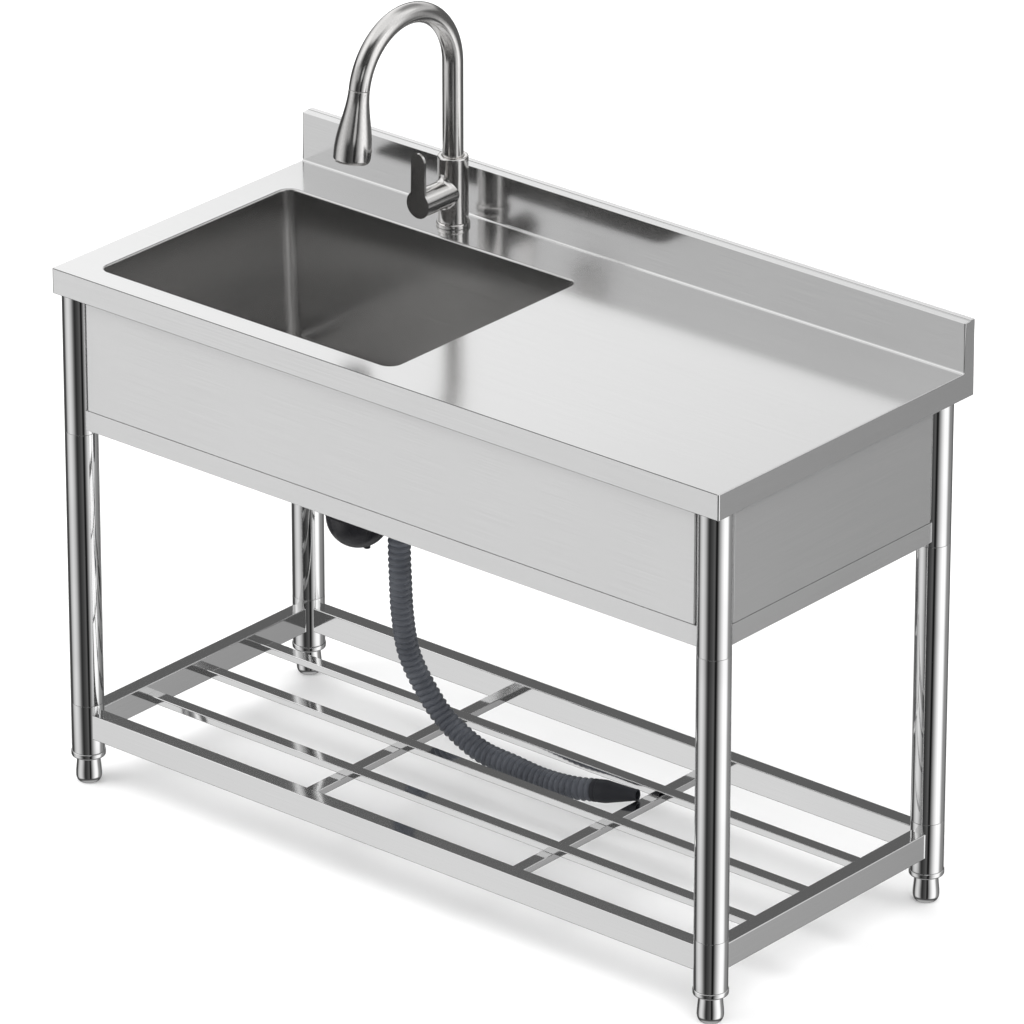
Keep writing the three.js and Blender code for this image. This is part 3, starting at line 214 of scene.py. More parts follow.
# Panels are a little matt, so that they stay a steel grey from every side.
panel = {**satin, "dark": grey(0.635), "light": grey(0.685), "roughness": 0.22, "depth": 0.002,
         "metallic": 0.75}
# Side panels: the panel steel set darker, a painted shade for the faces that turn away from the light.
shadedSidePanel = {**panel, "dark": grey(0.42), "light": grey(0.45), "along": 1, "streakRoughness": 0.03,
             "depth": 0.001}
# Folds: a lighter, glossier copy of the worktop steel, a painted highlight line where it is given.
fold = {**satin, "dark": grey(0.90), "light": grey(0.94), "roughness": 0.10, "depth": 0.0005}
rail = {**satin, "dark": grey(0.84), "light": grey(0.88), "roughness": 0.08, "streakRoughness": 0.04,
        "depth": 0.0006}
steelLooks = {
    "satinWorktop": satin,
    "satinPanel": panel,
    "satinSidePaintedShade": shadedSidePanel,
    # End faces: darker still, a painted shade.
    "satinEndPaintedShade": {**shadedSidePanel, "dark": grey(0.36), "light": grey(0.39), "roughness": 0.20},
    "foldPaintedHighlight": fold,
    # The same fold steel set dark: a painted shade line.
    "shadedFold": {**fold, "dark": grey(0.17), "light": grey(0.22), "roughness": 0.20},
    "bowlSteel": {**satin, "dark": grey(0.62, 0.004), "light": grey(0.70, 0.004), "grain": 900,
                  "roughness": 0.21, "depth": 0.003},
    "wasteSteel": {**satin, "dark": grey(0.62), "light": grey(0.74), "grain": 900, "along": 2,
                   "roughness": 0.2, "depth": 0.004},
    "railSteel": rail,
    "railSideSteel": {**rail, "along": 1},
}
steel = {name: brushedSteel(name, look) for name, look in steelLooks.items()}


def polishedSteel():
    look = {"dark": grey(0.84), "light": grey(0.90), "roughness": 0.045, "wipe": 0.03, "depth": 0.0015}
    material, graph, point, feed = newMaterial("polishedTube", 1.0)
    wipes = graph.noise(graph.take("ShaderNodeMapping", None, {"Vector": point, "Scale": (300, 300, 6)}), 1.0)
    cloud = graph.noise(point, 9.0)
    feed(graph.mixColour(graph.smoothStep(cloud, 0.35, 0.65), look),
         look["roughness"] + (wipes - 0.5) * look["wipe"], graph.bump(wipes, look["depth"]))
    return material


def tapFinish():
    look = {"dark": grey(0.68, 0.010), "light": grey(0.82, 0.012), "roughness": 0.145, "spread": 0.08,
            "depth": 0.003}
    material, graph, point, feed = newMaterial("brushedTap", 1.0)
    fine = graph.grain(point, [900, 900, 60])
    cloud = graph.noise(point, 14.0)
    feed(graph.mixColour(graph.smoothStep(fine * 0.6 + cloud * 0.4, 0.3, 0.7), look),
         look["roughness"] + (fine - 0.5) * look["spread"], graph.bump(fine, look["depth"]))
    return material


def mouldedPlastic(name, dark, light, roughness, spread, pores, depth):
    material, graph, point, feed = newMaterial(name)
    fine = graph.grain(point, pores)
    cloud = graph.noise(point, 18.0)
    look = {"dark": (*dark, 1), "light": (*light, 1)}
    feed(graph.mixColour(graph.smoothStep(cloud, 0.3, 0.7), look),
         roughness + (fine - 0.5) * spread + (cloud - 0.5) * 0.06, graph.bump(fine, depth))
    return material


polished = polishedSteel()
tapSteel = tapFinish()
blackPlastic = mouldedPlastic("blackPlastic", (0.010, 0.010, 0.012), (0.018, 0.018, 0.021),
                              roughness=0.26, spread=0.12, pores=900, depth=0.01)
hosePlastic = mouldedPlastic("hosePlastic", (0.058, 0.063, 0.075), (0.088, 0.095, 0.110),
                             roughness=0.38, spread=0.14, pores=700, depth=0.012)
cuffRubber = mouldedPlastic("cuffRubber", (0.012, 0.013, 0.017), (0.020, 0.022, 0.028),
                            roughness=0.58, spread=0.15, pores=1200, depth=0.015)
gasketRubber = mouldedPlastic("gasketRubber", (0.016, 0.016, 0.017), (0.028, 0.028, 0.030),
                              roughness=0.65, spread=0.15, pores=1500, depth=0.02)
paleNylon = mouldedPlastic("paleNylon", (0.62, 0.60, 0.54), (0.70, 0.68, 0.62),
                           roughness=0.40, spread=0.1, pores=900, depth=0.01)
print("materials ready")


def newObject(name, verts, faces, edges=()):
    mesh = bpy.data.meshes.new(name)
    mesh.from_pydata([tuple(Vector(v) * mm) for v in verts], list(edges), faces)
    mesh.update()
    return linked(name, mesh)


def fromWork(name, work):
    mesh = bpy.data.meshes.new(name)
    work.to_mesh(mesh)
    work.free()
    return linked(name, mesh)


def settle(made):
    # Turns what the modifiers give into a plain mesh.
    graph = bpy.context.evaluated_depsgraph_get()
    mesh = bpy.data.meshes.new_from_object(made.evaluated_get(graph), preserve_all_data_layers=True,
                                           depsgraph=graph)
    made.modifiers.clear()
    made.data = mesh
    return made


def dress(made, material, sharpAngle=40, recalculate=True):
    mesh = made.data
    if recalculate:
        work = bmesh.new()
        work.from_mesh(mesh)
        bmesh.ops.remove_doubles(work, verts=work.verts, dist=1e-6)
        bmesh.ops.recalc_face_normals(work, faces=work.faces)
        work.to_mesh(mesh)
        work.free()
    mesh.shade_smooth()
    mesh.set_sharp_from_angle(angle=math.radians(sharpAngle))
    mesh.materials.clear()
    mesh.materials.append(material)
    return made


def weighted(made):
    made.modifiers.new("weightedNormals", "WEIGHTED_NORMAL").keep_sharp = True
    return made


def thicken(made, sheet):
    # A wall of the given thickness, laid inside the drawn face.
    thick = made.modifiers.new("thickness", "SOLIDIFY")
    thick.thickness = sheet * mm
    thick.offset = -1
    return thick


def softEdges(made, radius, segments, angle):
    soft = made.modifiers.new("softEdges", "BEVEL")
    soft.width = radius * mm
    soft.segments = segments
    soft.limit_method = "ANGLE"
    soft.angle_limit = math.radians(angle)
    return made


def roundEdges(work, edges, radius, segments=4):
    bmesh.ops.bevel(work, geom=edges, offset=radius, segments=segments, profile=0.5, affect="EDGES")


def belong(made, body, slotName, *nodes):
    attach(made, body)
    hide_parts(*nodes)
    return made


def circle(count, start=0.0):
    # Points evenly round a circle of radius 1, the first one a share of a step on.
    angles = [(i + start) / count * 2 * math.pi for i in range(count)]
    return [(math.cos(angle), math.sin(angle)) for angle in angles]


def quarterTurn(steps):
    # Sines and cosines from nothing to a right angle.
    angles = [step / steps * math.pi / 2 for step in range(steps + 1)]
    return [(math.sin(angle), math.cos(angle)) for angle in angles]


def ringFaces(rows, around, closed=False):
    # Quads between rings of points that follow each other in one list.
    faces = []
    for row in range(rows if closed else rows - 1):
        low, high = row * around, (row + 1) % rows * around
        for i in range(around):
            j = (i + 1) % around
            faces.append((low + i, low + j, high + j, high + i))
    return faces


def softened(profile, steps=5):
    # A profile of (radius, height, fillet) points with its corners rounded.
    points = []
    for i, (r, z, fillet) in enumerate(profile):
        corner = Vector((r, z))
        if fillet <= 0 or i in (0, len(profile) - 1):
            points.append(corner)
            continue
        before = Vector(profile[i - 1][:2]) - corner
        after = Vector(profile[i + 1][:2]) - corner
        reach = min(fillet, before.length * 0.49, after.length * 0.49)
        start = corner + before.normalized() * reach
        end = corner + after.normalized() * reach
        for step in range(steps + 1):
            t = step / steps
            points.append(start * (1 - t) ** 2 + corner * 2 * t * (1 - t) + end * t * t)
    return points


def turned(name, profile, centre=(0, 0, 0), segments=72, place=None):
    # A lathe shape about +Z, moved by centre or by a full matrix in millimetres.
    move = place or Matrix.Translation(Vector(centre))
    points = softened(profile)
    verts = [move @ Vector((p[0] * c, p[0] * s, p[1])) for p in points for c, s in circle(segments)]
    return newObject(name, verts, ringFaces(len(points), segments))


def post(radius, low, high, lowFillet=0, highFillet=0):
    # The profile of a solid round bar.
    return [(0, low, 0), (radius, low, lowFillet), (radius, high, highFillet), (0, high, 0)]


def turnedSolid(name, radius, low, high, place, segments=96):
    return dress(turned(name, post(radius, low, high), place=place, segments=segments), tapSteel)


def joined(name, parts):
    work = bmesh.new()
    for part in parts:
        work.from_mesh(part.data)
        bpy.data.objects.remove(part)
    return fromWork(name, work)


def boolean(made, other, operation):
    cutter = made.modifiers.new("boolean", "BOOLEAN")
    cutter.operation = operation
    cutter.solver = "EXACT"
    cutter.object = other
    settle(made)
    bpy.data.objects.remove(other)
    return made


def pipe(name, stations, radius, bore, segments):
    # Rings round (centre, tangent, across) stations, out along the wall and back along the bore.
    rings = [(*station, radius) for station in stations] + [(*station, bore) for station in stations[::-1]]
    verts = []
    for centre, tangent, across, r in rings:
        beside = tangent.cross(across).normalized()
        verts += [centre + across * (r * c) + beside * (r * s) for c, s in circle(segments)]
    return newObject(name, verts, ringFaces(len(rings), segments, closed=True))


def prism(name, first, second):
    # A solid between two outlines of as many points.
    count = len(first)
    faces = [tuple(reversed(range(count))), tuple(range(count, 2 * count))]
    faces += [(i, (i + 1) % count, count + (i + 1) % count, count + i) for i in range(count)]
    return newObject(name, first + second, faces)


def roundedRectangle(middle, width, height, radius, steps):
    points = []
    for corner in range(4):
        sx = 1 if corner in (0, 3) else -1
        sy = 1 if corner < 2 else -1
        for step in range(steps + 1):
            angle = (corner + step / steps) * math.pi / 2
            points.append((middle[0] + sx * (width / 2 - radius) + radius * math.cos(angle),
                           middle[1] + sy * (height / 2 - radius) + radius * math.sin(angle)))
    return points


def polyline(name, points):
    return newObject(name, points, [], [(i, i + 1) for i in range(len(points) - 1)])


def newTree(name, inputs):
    # A geometry node tree with the given float, whole number and vector inputs.
    tree = bpy.data.node_groups.new(name, "GeometryNodeTree")
    tree.interface.new_socket(name="Geometry", in_out="INPUT", socket_type="NodeSocketGeometry")
    for label, value in inputs.items():
        kind = {int: "Int", float: "Float", type(None): "Vector"}[type(value)]
        socket = tree.interface.new_socket(name=label, in_out="INPUT", socket_type="NodeSocket" + kind)
        if value is not None:
            socket.default_value = value
    tree.interface.new_socket(name="Geometry", in_out="OUTPUT", socket_type="NodeSocketGeometry")
    graph = Graph(tree)
    entry = tree.nodes.new("NodeGroupInput")
    return graph, {socket.name: Value(graph, socket) for socket in entry.outputs if socket.name}


def endTree(graph, geometry):
    real = graph.take("GeometryNodeRealizeInstances", None, {0: geometry})
    finish = graph.node("GeometryNodeSetMaterial", None, {"Geometry": real})
    leave = graph.tree.nodes.new("NodeGroupOutput")
    graph.tree.links.new(finish.outputs[0], leave.inputs[0])
    return graph.tree


def grown(name, tree, start, values, material):
    # Runs a tree on a start mesh with the given named inputs and keeps the plain result.
    for node in tree.nodes:
        if node.bl_idname == "GeometryNodeSetMaterial":
            node.inputs["Material"].default_value = material
    modifier = start.modifiers.new("grow", "NODES")
    modifier.node_group = tree
    for item in tree.interface.items_tree:
        if item.item_type == "SOCKET" and item.in_out == "INPUT" and item.name in values:
            modifier[item.identifier] = values[item.name]
    start.name = name
    return settle(start)


# The worktop's opening follows the bowl, so both read these values.
bowl = {"x": -277, "y": -36, "length": 540, "width": 396, "corner": 18, "cornerSteps": 10, "rimRoll": 3.0,
        "floor": 555, "fall": 4, "floorRadius": 14, "endDraft": 9, "sideDraft": 2, "recessRadius": 58,
        "recessDepth": 3, "recessEdge": 4, "holeRadius": 43.5, "sheet": 1.2}


def makeWorktop():
    size = {"sheet": 1.2, "apronBottom": 757, "apronReturn": 10, "foldRadius": 0.9, "cornerRadius": 2.4,
            "innerFold": 2.8, "backLip": 15, "hemAt": 266, "hemSlope": 0.5, "hem": 0.9, "openBehind": 260,
            "openBelow": 856, "innerAngle": 0.5, "foldAngle": 0.7, "uprightFrom": 20, "hemMargin": 2,
            "cutReach": 8, "facing": 0.985, "frontFold": 2, "sideFold": 3, "hemEdge": 0.6}
    u = unit
    hemBase = u["splashTop"] - size["hem"]
    outline = [(u["front"], size["apronBottom"]), (u["front"], u["top"]), (u["splashFront"], u["top"]),
               (u["splashFront"], hemBase), (size["hemAt"], hemBase),
               (size["hemAt"] + size["hemSlope"], u["splashTop"]), (u["back"], u["splashTop"]),
               (u["back"], u["splashTop"] - size["backLip"]), (u["back"], size["apronBottom"])]
    count = len(outline)
    work = bmesh.new()
    left, right = ([work.verts.new(Vector((x, y, z)) * mm) for y, z in outline]
                   for x in (-u["halfWidth"], u["halfWidth"]))
    for i in range(count):
        j = (i + 1) % count
        work.faces.new((left[i], left[j], right[j], right[i]))
    work.faces.new(left)
    work.faces.new(list(reversed(right)))
    bmesh.ops.recalc_face_normals(work, faces=work.faces)
    bottom = min(work.faces, key=lambda face: face.calc_center_median().z)
    bmesh.ops.inset_region(work, faces=[bottom], thickness=size["apronReturn"] * mm, use_even_offset=True)
    # The back stays open below the splashback's folded lip.
    gone = [face for face in work.faces if face == bottom
            or min(vert.co.y for vert in face.verts) > size["openBehind"] * mm
            and max(vert.co.z for vert in face.verts) < size["openBelow"] * mm]
    bmesh.ops.delete(work, geom=gone, context="FACES_ONLY")

    def creases(convex, least):
        return [edge for edge in work.edges
                if edge.is_manifold and edge.is_convex == convex and edge.calc_face_angle() > least]

    roundEdges(work, creases(False, size["innerAngle"]), size["innerFold"] * mm, segments=5)
    for upright, radius in ((True, size["cornerRadius"]), (False, size["foldRadius"])):
        folds = []
        for edge in creases(True, size["foldAngle"]):
            a, b = (vert.co / mm for vert in edge.verts)
            isUpright = abs(a.z - b.z) > size["uprightFrom"]
            if isUpright == upright and abs(a.y - size["hemAt"]) > size["hemMargin"]:
                folds.append(edge)
        roundEdges(work, folds, radius * mm)
    made = fromWork("worktop", work)
    thicken(made, size["sheet"]).use_even_offset = True
    settle(made)
    roll = bowl["rimRoll"]
    mouth = roundedRectangle((bowl["x"], bowl["y"]), bowl["length"] + 2 * roll, bowl["width"] + 2 * roll,
                             bowl["corner"] + roll, bowl["cornerSteps"])
    cut = [[(x, y, u["top"] + way * size["cutReach"]) for x, y in mouth] for way in (-1, 1)]
    boolean(made, prism("mouthCutter", *cut), "DIFFERENCE")
    finishes = ["satinWorktop", "satinEndPaintedShade", "foldPaintedHighlight", "shadedFold", "satinPanel"]
    dress(made, steel[finishes[0]], 32, recalculate=False)
    for finish in finishes[1:]:
        made.data.materials.append(steel[finish])
    for face in made.data.polygons:
        x, y, z = (abs(part) for part in face.normal)
        at = face.center / mm
        onFold = max(x, y, z) < size["facing"]
        atFront = at.y < u["front"] + size["frontFold"]
        finish = "satinWorktop"
        # Faces along X get the darker end steel, a painted shade.
        if x > size["facing"]:
            finish = "satinEndPaintedShade"
        # The right-hand end folds get the light fold steel, a painted highlight line.
        elif onFold and at.x > u["halfWidth"] - size["sideFold"]:
            finish = "foldPaintedHighlight"
        # The front folds and the left-end folds get the dark fold steel, a painted shade line.
        elif onFold and (atFront or at.x < -u["halfWidth"] + size["frontFold"]):
            finish = "shadedFold"
        # The hem's small step gets the dark end steel too, a painted shade line.
        elif abs(at.y - size["hemAt"]) < size["hemEdge"] and at.z > hemBase:
            finish = "satinEndPaintedShade"
        elif y > size["facing"] and (atFront or face.normal.y > 0):
            finish = "satinPanel"
        face.material_index = finishes.index(finish)
    belong(weighted(made), "frame", "satin_steel", "worktop_deck", "end_plate_left", "end_plate_right")


def makeBowl():
    b = bowl
    rings = []

    def level(inX, inY, radius, z):
        outline = roundedRectangle((b["x"], b["y"]), b["length"] - 2 * inX, b["width"] - 2 * inY, radius,
                                   b["cornerSteps"])
        rings.append([(x, y, z) for x, y in outline])

    def disc(radius, z):
        return [(drain.x + radius * c, drain.y + radius * s, z) for c, s in circle(len(rings[0]), 0.5)]

    roll = b["rimRoll"]
    for s, c in quarterTurn(5):
        out = roll * (1 - s)
        level(-out, -out, b["corner"] + out, unit["top"] - roll * (1 - c))
    edge = b["floor"] + b["fall"]
    for share in (0.25, 0.5, 0.75):
        level(b["endDraft"] * share, b["sideDraft"] * share, b["corner"],
              (unit["top"] - roll) * (1 - share) + (edge + b["floorRadius"]) * share)
    for s, c in quarterTurn(8):
        inwards = b["floorRadius"] * (1 - c)
        level(b["endDraft"] + inwards, b["sideDraft"] + inwards, b["corner"] - inwards,
              edge + b["floorRadius"] * (1 - s))
    inner = rings[-1]
    outer = disc(b["recessRadius"] + b["recessEdge"], b["floor"])
    for step in range(1, 7):
        t = step / 6
        rings.append([tuple(p * (1 - t) + q * t for p, q in zip(*pair)) for pair in zip(inner, outer)])
    for step in range(1, 6):
        t = step / 5
        drop = b["recessDepth"] * (1 - math.cos(t * math.pi)) / 2
        rings.append(disc(b["recessRadius"] + b["recessEdge"] * (1 - t), b["floor"] - drop))
    rings.append(disc(b["holeRadius"], b["floor"] - b["recessDepth"]))
    verts = [point for ring in rings for point in ring]
    made = newObject("sinkBowl", verts, ringFaces(len(rings), len(inner)))
    dress(made, steel["bowlSteel"], 50, recalculate=False)
    thicken(made, b["sheet"])
    belong(made, "frame", "bowl_steel", "sink_bowl")


def makePanels():
    size = {"sheet": 1.2, "return": 14, "bottom": 586.3, "fold": 1.8, "standOff": 12.5}
    middle = (legs["front"] + legs["back"]) / 2
    spanX = legs["x"] - legs["radius"] - legs["fit"]
    spanY = (legs["back"] - legs["front"]) / 2 - legs["radius"] - legs["fit"]
    sides = {"front": (spanX, 0, (0, legs["front"], 0), "satinPanel"),
             "back": (spanX, math.pi, (0, legs["back"], 0), "satinPanel"),
             # Left and right take the darker side steel, a painted shade.
             "left": (spanY, -math.pi / 2, (-legs["x"], middle, 0), "satinSidePaintedShade"),
             "right": (spanY, math.pi / 2, (legs["x"], middle, 0), "satinSidePaintedShade")}
    for side, (half, turn, spot, finish) in sides.items():
        work = bmesh.new()
        bmesh.ops.create_cube(work, size=1)
        for vert in work.verts:
            vert.co.x *= 2 * half
            vert.co.y = -size["standOff"] + (0 if vert.co.y < 0 else size["return"])
            vert.co.z = size["bottom"] if vert.co.z < 0 else legs["top"]
        gone = [face for face in work.faces if face.normal.y > 0.9 or face.normal.z > 0.9]
        bmesh.ops.delete(work, geom=gone, context="FACES_ONLY")
        roundEdges(work, [edge for edge in work.edges if len(edge.link_faces) == 2], size["fold"])
        move = Matrix.Translation(spot) @ Matrix.Rotation(turn, 4, "Z")
        bmesh.ops.transform(work, matrix=Matrix.Scale(mm, 4) @ move, verts=work.verts)
        made = fromWork("skirtPanel" + side.capitalize(), work)
        dress(made, steel[finish], 35, recalculate=False)
        thicken(made, size["sheet"])
        belong(weighted(made), "frame", "satin_steel", "skirt_panel_" + side)


makeWorktop()
makeBowl()
makePanels()
print("worktop, bowl and panels made")


def columnTree():
    # Turns a profile line (x = radius, z = height) about Z and sets a copy at each corner.
    graph, given = newTree("turnedLegStage", {"Segments": 64, "Spread X": 1.0, "Spread Y": 1.0,
                                              "Shift Y": 0.0})
    nudge, weld = 0.0001, 0.00001
    rows = graph.take("GeometryNodeAttributeDomainSize", {"component": "MESH"}, {0: given["Geometry"]})
    across = given["Segments"] + 1
    sheet = graph.take("GeometryNodeMeshGrid", None, {"Vertices X": rows, "Vertices Y": across})
    index = graph.take("GeometryNodeInputIndex")
    row = (index / across + nudge).math("FLOOR")
    angle = (index - row * across) / given["Segments"] * (2 * math.pi)
    sampled = graph.take("GeometryNodeSampleIndex", {"data_type": "FLOAT_VECTOR", "domain": "POINT"},
                         {"Geometry": given["Geometry"], "Value": graph.take("GeometryNodeInputPosition"),
                          "Index": row})
    radius, _, height = graph.split(sampled)
    spot = graph.vector(x=radius * angle.math("COSINE"), y=radius * angle.math("SINE"), z=height)
    shaped = graph.take("GeometryNodeSetPosition", None, {"Geometry": sheet, "Position": spot})
    closed = graph.take("GeometryNodeMergeByDistance", None, {"Geometry": shaped, "Distance": weld})
    spread = graph.take("GeometryNodeMeshGrid", None, {
        "Size X": given["Spread X"], "Size Y": given["Spread Y"], "Vertices X": 2, "Vertices Y": 2})
    moved = graph.take("GeometryNodeTransform", None,
                       {"Geometry": spread, "Translation": graph.vector(y=given["Shift Y"])})
    copies = graph.take("GeometryNodeInstanceOnPoints", None, {"Points": moved, "Instance": closed})
    return endTree(graph, copies)


def makeLegs():
    size = {"seam": 0.35, "gap": 0.3, "ringRadius": 25, "ringLow": 40.5, "ringFillets": (2.4, 1.8),
            "segments": 72}
    upper, lower, foot = (joints[name] for name in ("upper", "lower", "foot"))
    seam = size["seam"]
    stages = {
        "upperLegs": ("upper_leg_", post(legs["radius"], upper, legs["top"], seam)),
        "legTubes": ("leg_tube_", post(legs["radius"], lower, upper - size["gap"], seam, seam)),
        "shelfCorners": ("shelf_corner_", post(legs["radius"], foot, lower - size["gap"], seam, seam)),
        "footInserts": ("foot_insert_", post(size["ringRadius"], size["ringLow"], foot - size["gap"],
                                             *size["ringFillets"])),
    }
    tree = columnTree()
    for name, (prefix, profile) in stages.items():
        start = polyline(name, [(p[0], 0, p[1]) for p in softened(profile)])
        made = grown(name, tree, start, {
            "Segments": size["segments"], "Spread X": 2 * legs["x"] * mm,
            "Spread Y": (legs["back"] - legs["front"]) * mm,
            "Shift Y": (legs["front"] + legs["back"]) / 2 * mm}, polished)
        dress(made, polished, 30)
        belong(made, "frame", "polished_steel", *[prefix + corner for corner in corners])


def makeFeet():
    size = {"top": 40.2, "neck": 17.1, "neckHeight": 36, "bulge": 18.8, "bulgeHeight": 10, "base": 13.4,
            "stud": 6, "studTop": 86}
    widen = size["bulge"] - size["base"]
    narrow = size["neck"] - size["bulge"]
    profile = [(0, 0, 0), (size["base"], 0, 0.6)]
    for s, c in quarterTurn(8)[1:]:
        profile.append((size["base"] + widen * s, size["bulgeHeight"] * (1 - c), 0))
    for step in range(1, 11):
        t = step / 10
        blend = (1 - math.cos(t * math.pi)) / 2
        profile.append((size["bulge"] + narrow * blend,
                        size["bulgeHeight"] + (size["neckHeight"] - size["bulgeHeight"]) * t, 0))
    profile += [(size["neck"], size["top"], 0.8), (size["stud"], size["top"], 0),
                (size["stud"], size["studTop"], 1), (0, size["studTop"], 0)]
    for corner, (side, row) in corners.items():
        name = "foot" + corner.title().replace("_", "")
        made = dress(turned(name, profile, (side * legs["x"], legs[row], 0), 64), polished)
        belong(made, "foot_" + corner, "polished_steel", "levelling_foot_" + corner)


makeLegs()
makeFeet()
print("legs made")


def barTree():
    # A rounded box tube along X, repeated along Y, then turned and set in place.
    graph, given = newTree("boxTubeRow", {"Length": 1.0, "Width": 0.02, "Height": 0.01, "Corner": 0.001,
                                          "Count": 2, "Pitch": 0.1, "Turn": 0.0, "Middle": None})
    half = given["Length"] * 0.5
    line = graph.take("GeometryNodeCurvePrimitiveLine", None,
                      {"Start": graph.vector(x=half * -1), "End": graph.vector(x=half)})
    outline = graph.take("GeometryNodeCurvePrimitiveQuadrilateral", None,
                         {"Width": given["Width"], "Height": given["Height"]})
    section = graph.take("GeometryNodeFilletCurve", {"mode": "POLY"},
                         {"Curve": outline, "Count": 4, "Radius": given["Corner"], "Limit Radius": True})
    tube = graph.take("GeometryNodeCurveToMesh", None,
                      {"Curve": line, "Profile Curve": section, "Fill Caps": True})
    first = graph.vector(y=(given["Count"] - 1) * given["Pitch"] * -0.5)
    row = graph.take("GeometryNodeMeshLine", None, {"Count": given["Count"], "Start Location": first,
                                                    "Offset": graph.vector(y=given["Pitch"])})
    copies = graph.take("GeometryNodeInstanceOnPoints", None, {"Points": row, "Instance": tube})
    real = graph.take("GeometryNodeRealizeInstances", None, {0: copies})
    return endTree(graph, graph.take("GeometryNodeTransform", None, {
        "Geometry": real, "Translation": given["Middle"], "Rotation": graph.vector(z=given["Turn"])}))


def makeBars():
    inset, thinInset = 12, 12.6
    gapX = 2 * legs["x"]
    gapY = legs["back"] - legs["front"]
    alongX = {"length": gapX - 2 * inset, "count": 2, "pitch": gapY, "turn": 0.0}
    alongY = {"length": gapY - 2 * inset, "count": 2, "pitch": gapX, "turn": math.pi / 2}
    skirt = {"section": (25, 30, 0.8), "z": 571, "slot": "satin_steel", "nodes": "skirt_rail_"}
    shelf = {"section": (25, 38, 1.4), "z": 92, "slot": "polished_steel", "nodes": "shelf_rail_"}
    thin = {"section": (20, 10.5, 1.2), "slot": "polished_steel"}
    rows = {
        "skirtRailsLong": {**alongX, **skirt, "finish": "satinPanel", "ends": ["front", "back"]},
        # The short rails take the darker side steel too, a painted shade.
        "skirtRailsShort": {**alongY, **skirt, "finish": "satinSidePaintedShade", "ends": ["left", "right"]},
        "shelfRailsLong": {**alongX, **shelf, "finish": "railSteel", "ends": ["front", "back"]},
        "shelfRailsShort": {**alongY, **shelf, "finish": "railSideSteel", "ends": ["left", "right"]},
        "shelfSlats": {**alongX, **thin, "length": gapX - 2 * thinInset, "z": 91.75, "count": 3,
                       "pitch": 116, "finish": "railSteel", "nodes": "shelf_slat_", "ends": ["1", "2", "3"]},
        "shelfCrossbars": {**alongY, **thin, "length": gapY - 2 * thinInset, "z": 80.95, "pitch": 381,
                           "finish": "railSideSteel", "nodes": "shelf_crossbar_", "ends": ["left", "right"]},
    }
    tree = barTree()
    middleY = (legs["front"] + legs["back"]) / 2
    for name, row in rows.items():
        width, height, corner = row["section"]
        finish = steel[row["finish"]]
        made = grown(name, tree, newObject(name, [(0, 0, 0)], []), {
            "Length": row["length"] * mm, "Width": width * mm, "Height": height * mm, "Corner": corner * mm,
            "Count": row["count"], "Pitch": row["pitch"] * mm, "Turn": row["turn"],
            "Middle": (0, middleY * mm, row["z"] * mm)}, finish)
        dress(made, finish)
        belong(weighted(made), "frame", row["slot"], *[row["nodes"] + end for end in row["ends"]])


makeBars()
print("rails and slats made")


def dressedCopy(node, name, body, slotName, material, soft, sharpAngle=32):
    # A merged copy of a CAD node with softened edges, for small fittings whose shape is right.
    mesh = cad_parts[node].data.copy()
    work = bmesh.new()
    work.from_mesh(mesh)
    bmesh.ops.remove_doubles(work, verts=work.verts, dist=2e-6)
    bmesh.ops.dissolve_limit(work, angle_limit=math.radians(3), verts=work.verts, edges=work.edges)
    work.to_mesh(mesh)
    work.free()
    made = dress(linked(name, mesh), material, sharpAngle, recalculate=False)
    softEdges(made, soft, segments=2, angle=sharpAngle)
    belong(made, body, slotName, node)


waste = {"flangeRadius": 56, "flangeBottom": 552.3, "flangeThickness": 2, "cupRadius": 42,
         "cupBottom": 497.3, "wall": 2, "tailRadius": 20, "tailBottom": 471.3, "trapTop": 489.3,
         "shoulderTop": 477.3, "shoulder": 463.3, "equator": 415.3, "trapRadius": 46.5, "neckRadius": 23.8,
         "outletZ": 451.3, "outletRadius": 19}


def makeStrainer():
    w = waste
    cup, tail, flange = w["cupRadius"], w["tailRadius"], w["flangeRadius"]
    cupLow, tailLow, flangeLow = w["cupBottom"], w["tailBottom"], w["flangeBottom"]
    top = flangeLow + w["flangeThickness"]
    bore = cup - w["wall"]
    tailBore = tail - w["wall"]
    profile = [(tailBore, tailLow, 0), (tail, tailLow, 0.5), (tail, cupLow - 2, 2), (cup - 6, cupLow - 2, 4),
               (cup, cupLow + 5, 3), (cup, flangeLow, 0.6), (flange, flangeLow, 0.3), (flange - 1, top, 0.8),
               (bore + 3, top, 2.5), (bore, top - 4, 2), (bore, cupLow + 5, 3), (bore - 4.5, cupLow, 2),
               (tailBore, cupLow, 1), (tailBore, tailLow, 0)]
    made = dress(turned("strainerBody", profile, drain, 96), steel["wasteSteel"])
    belong(made, "frame", "bowl_steel", "strainer_body")
    dressedCopy("strainer_basket", "strainerBasket", "basket", "bowl_steel", steel["wasteSteel"], 0.3)
    dressedCopy("strainer_locknut", "strainerLocknut", "frame", "black_plastic", blackPlastic, 0.6)
    dressedCopy("strainer_gasket", "strainerGasket", "frame", "dark_rubber", gasketRubber, 0.4)


def ribTree():
    # Sets small upright ribs round a ring, as on a hand-tightened nut.
    graph, given = newTree("gripRibs", {"Count": 24, "Radius": 0.03, "Height": 0.012, "Thickness": 0.002,
                                        "Middle": None})
    ring = graph.take("GeometryNodeMeshCircle", None,
                      {"Vertices": given["Count"], "Radius": given["Radius"]})
    rib = graph.take("GeometryNodeMeshCylinder", {"fill_type": "NGON"},
                     {"Vertices": 10, "Radius": given["Thickness"], "Depth": given["Height"]})
    copies = graph.take("GeometryNodeInstanceOnPoints", None, {"Points": ring, "Instance": rib})
    return endTree(graph, graph.take("GeometryNodeTransform", None,
                                     {"Geometry": copies, "Translation": given["Middle"]}))


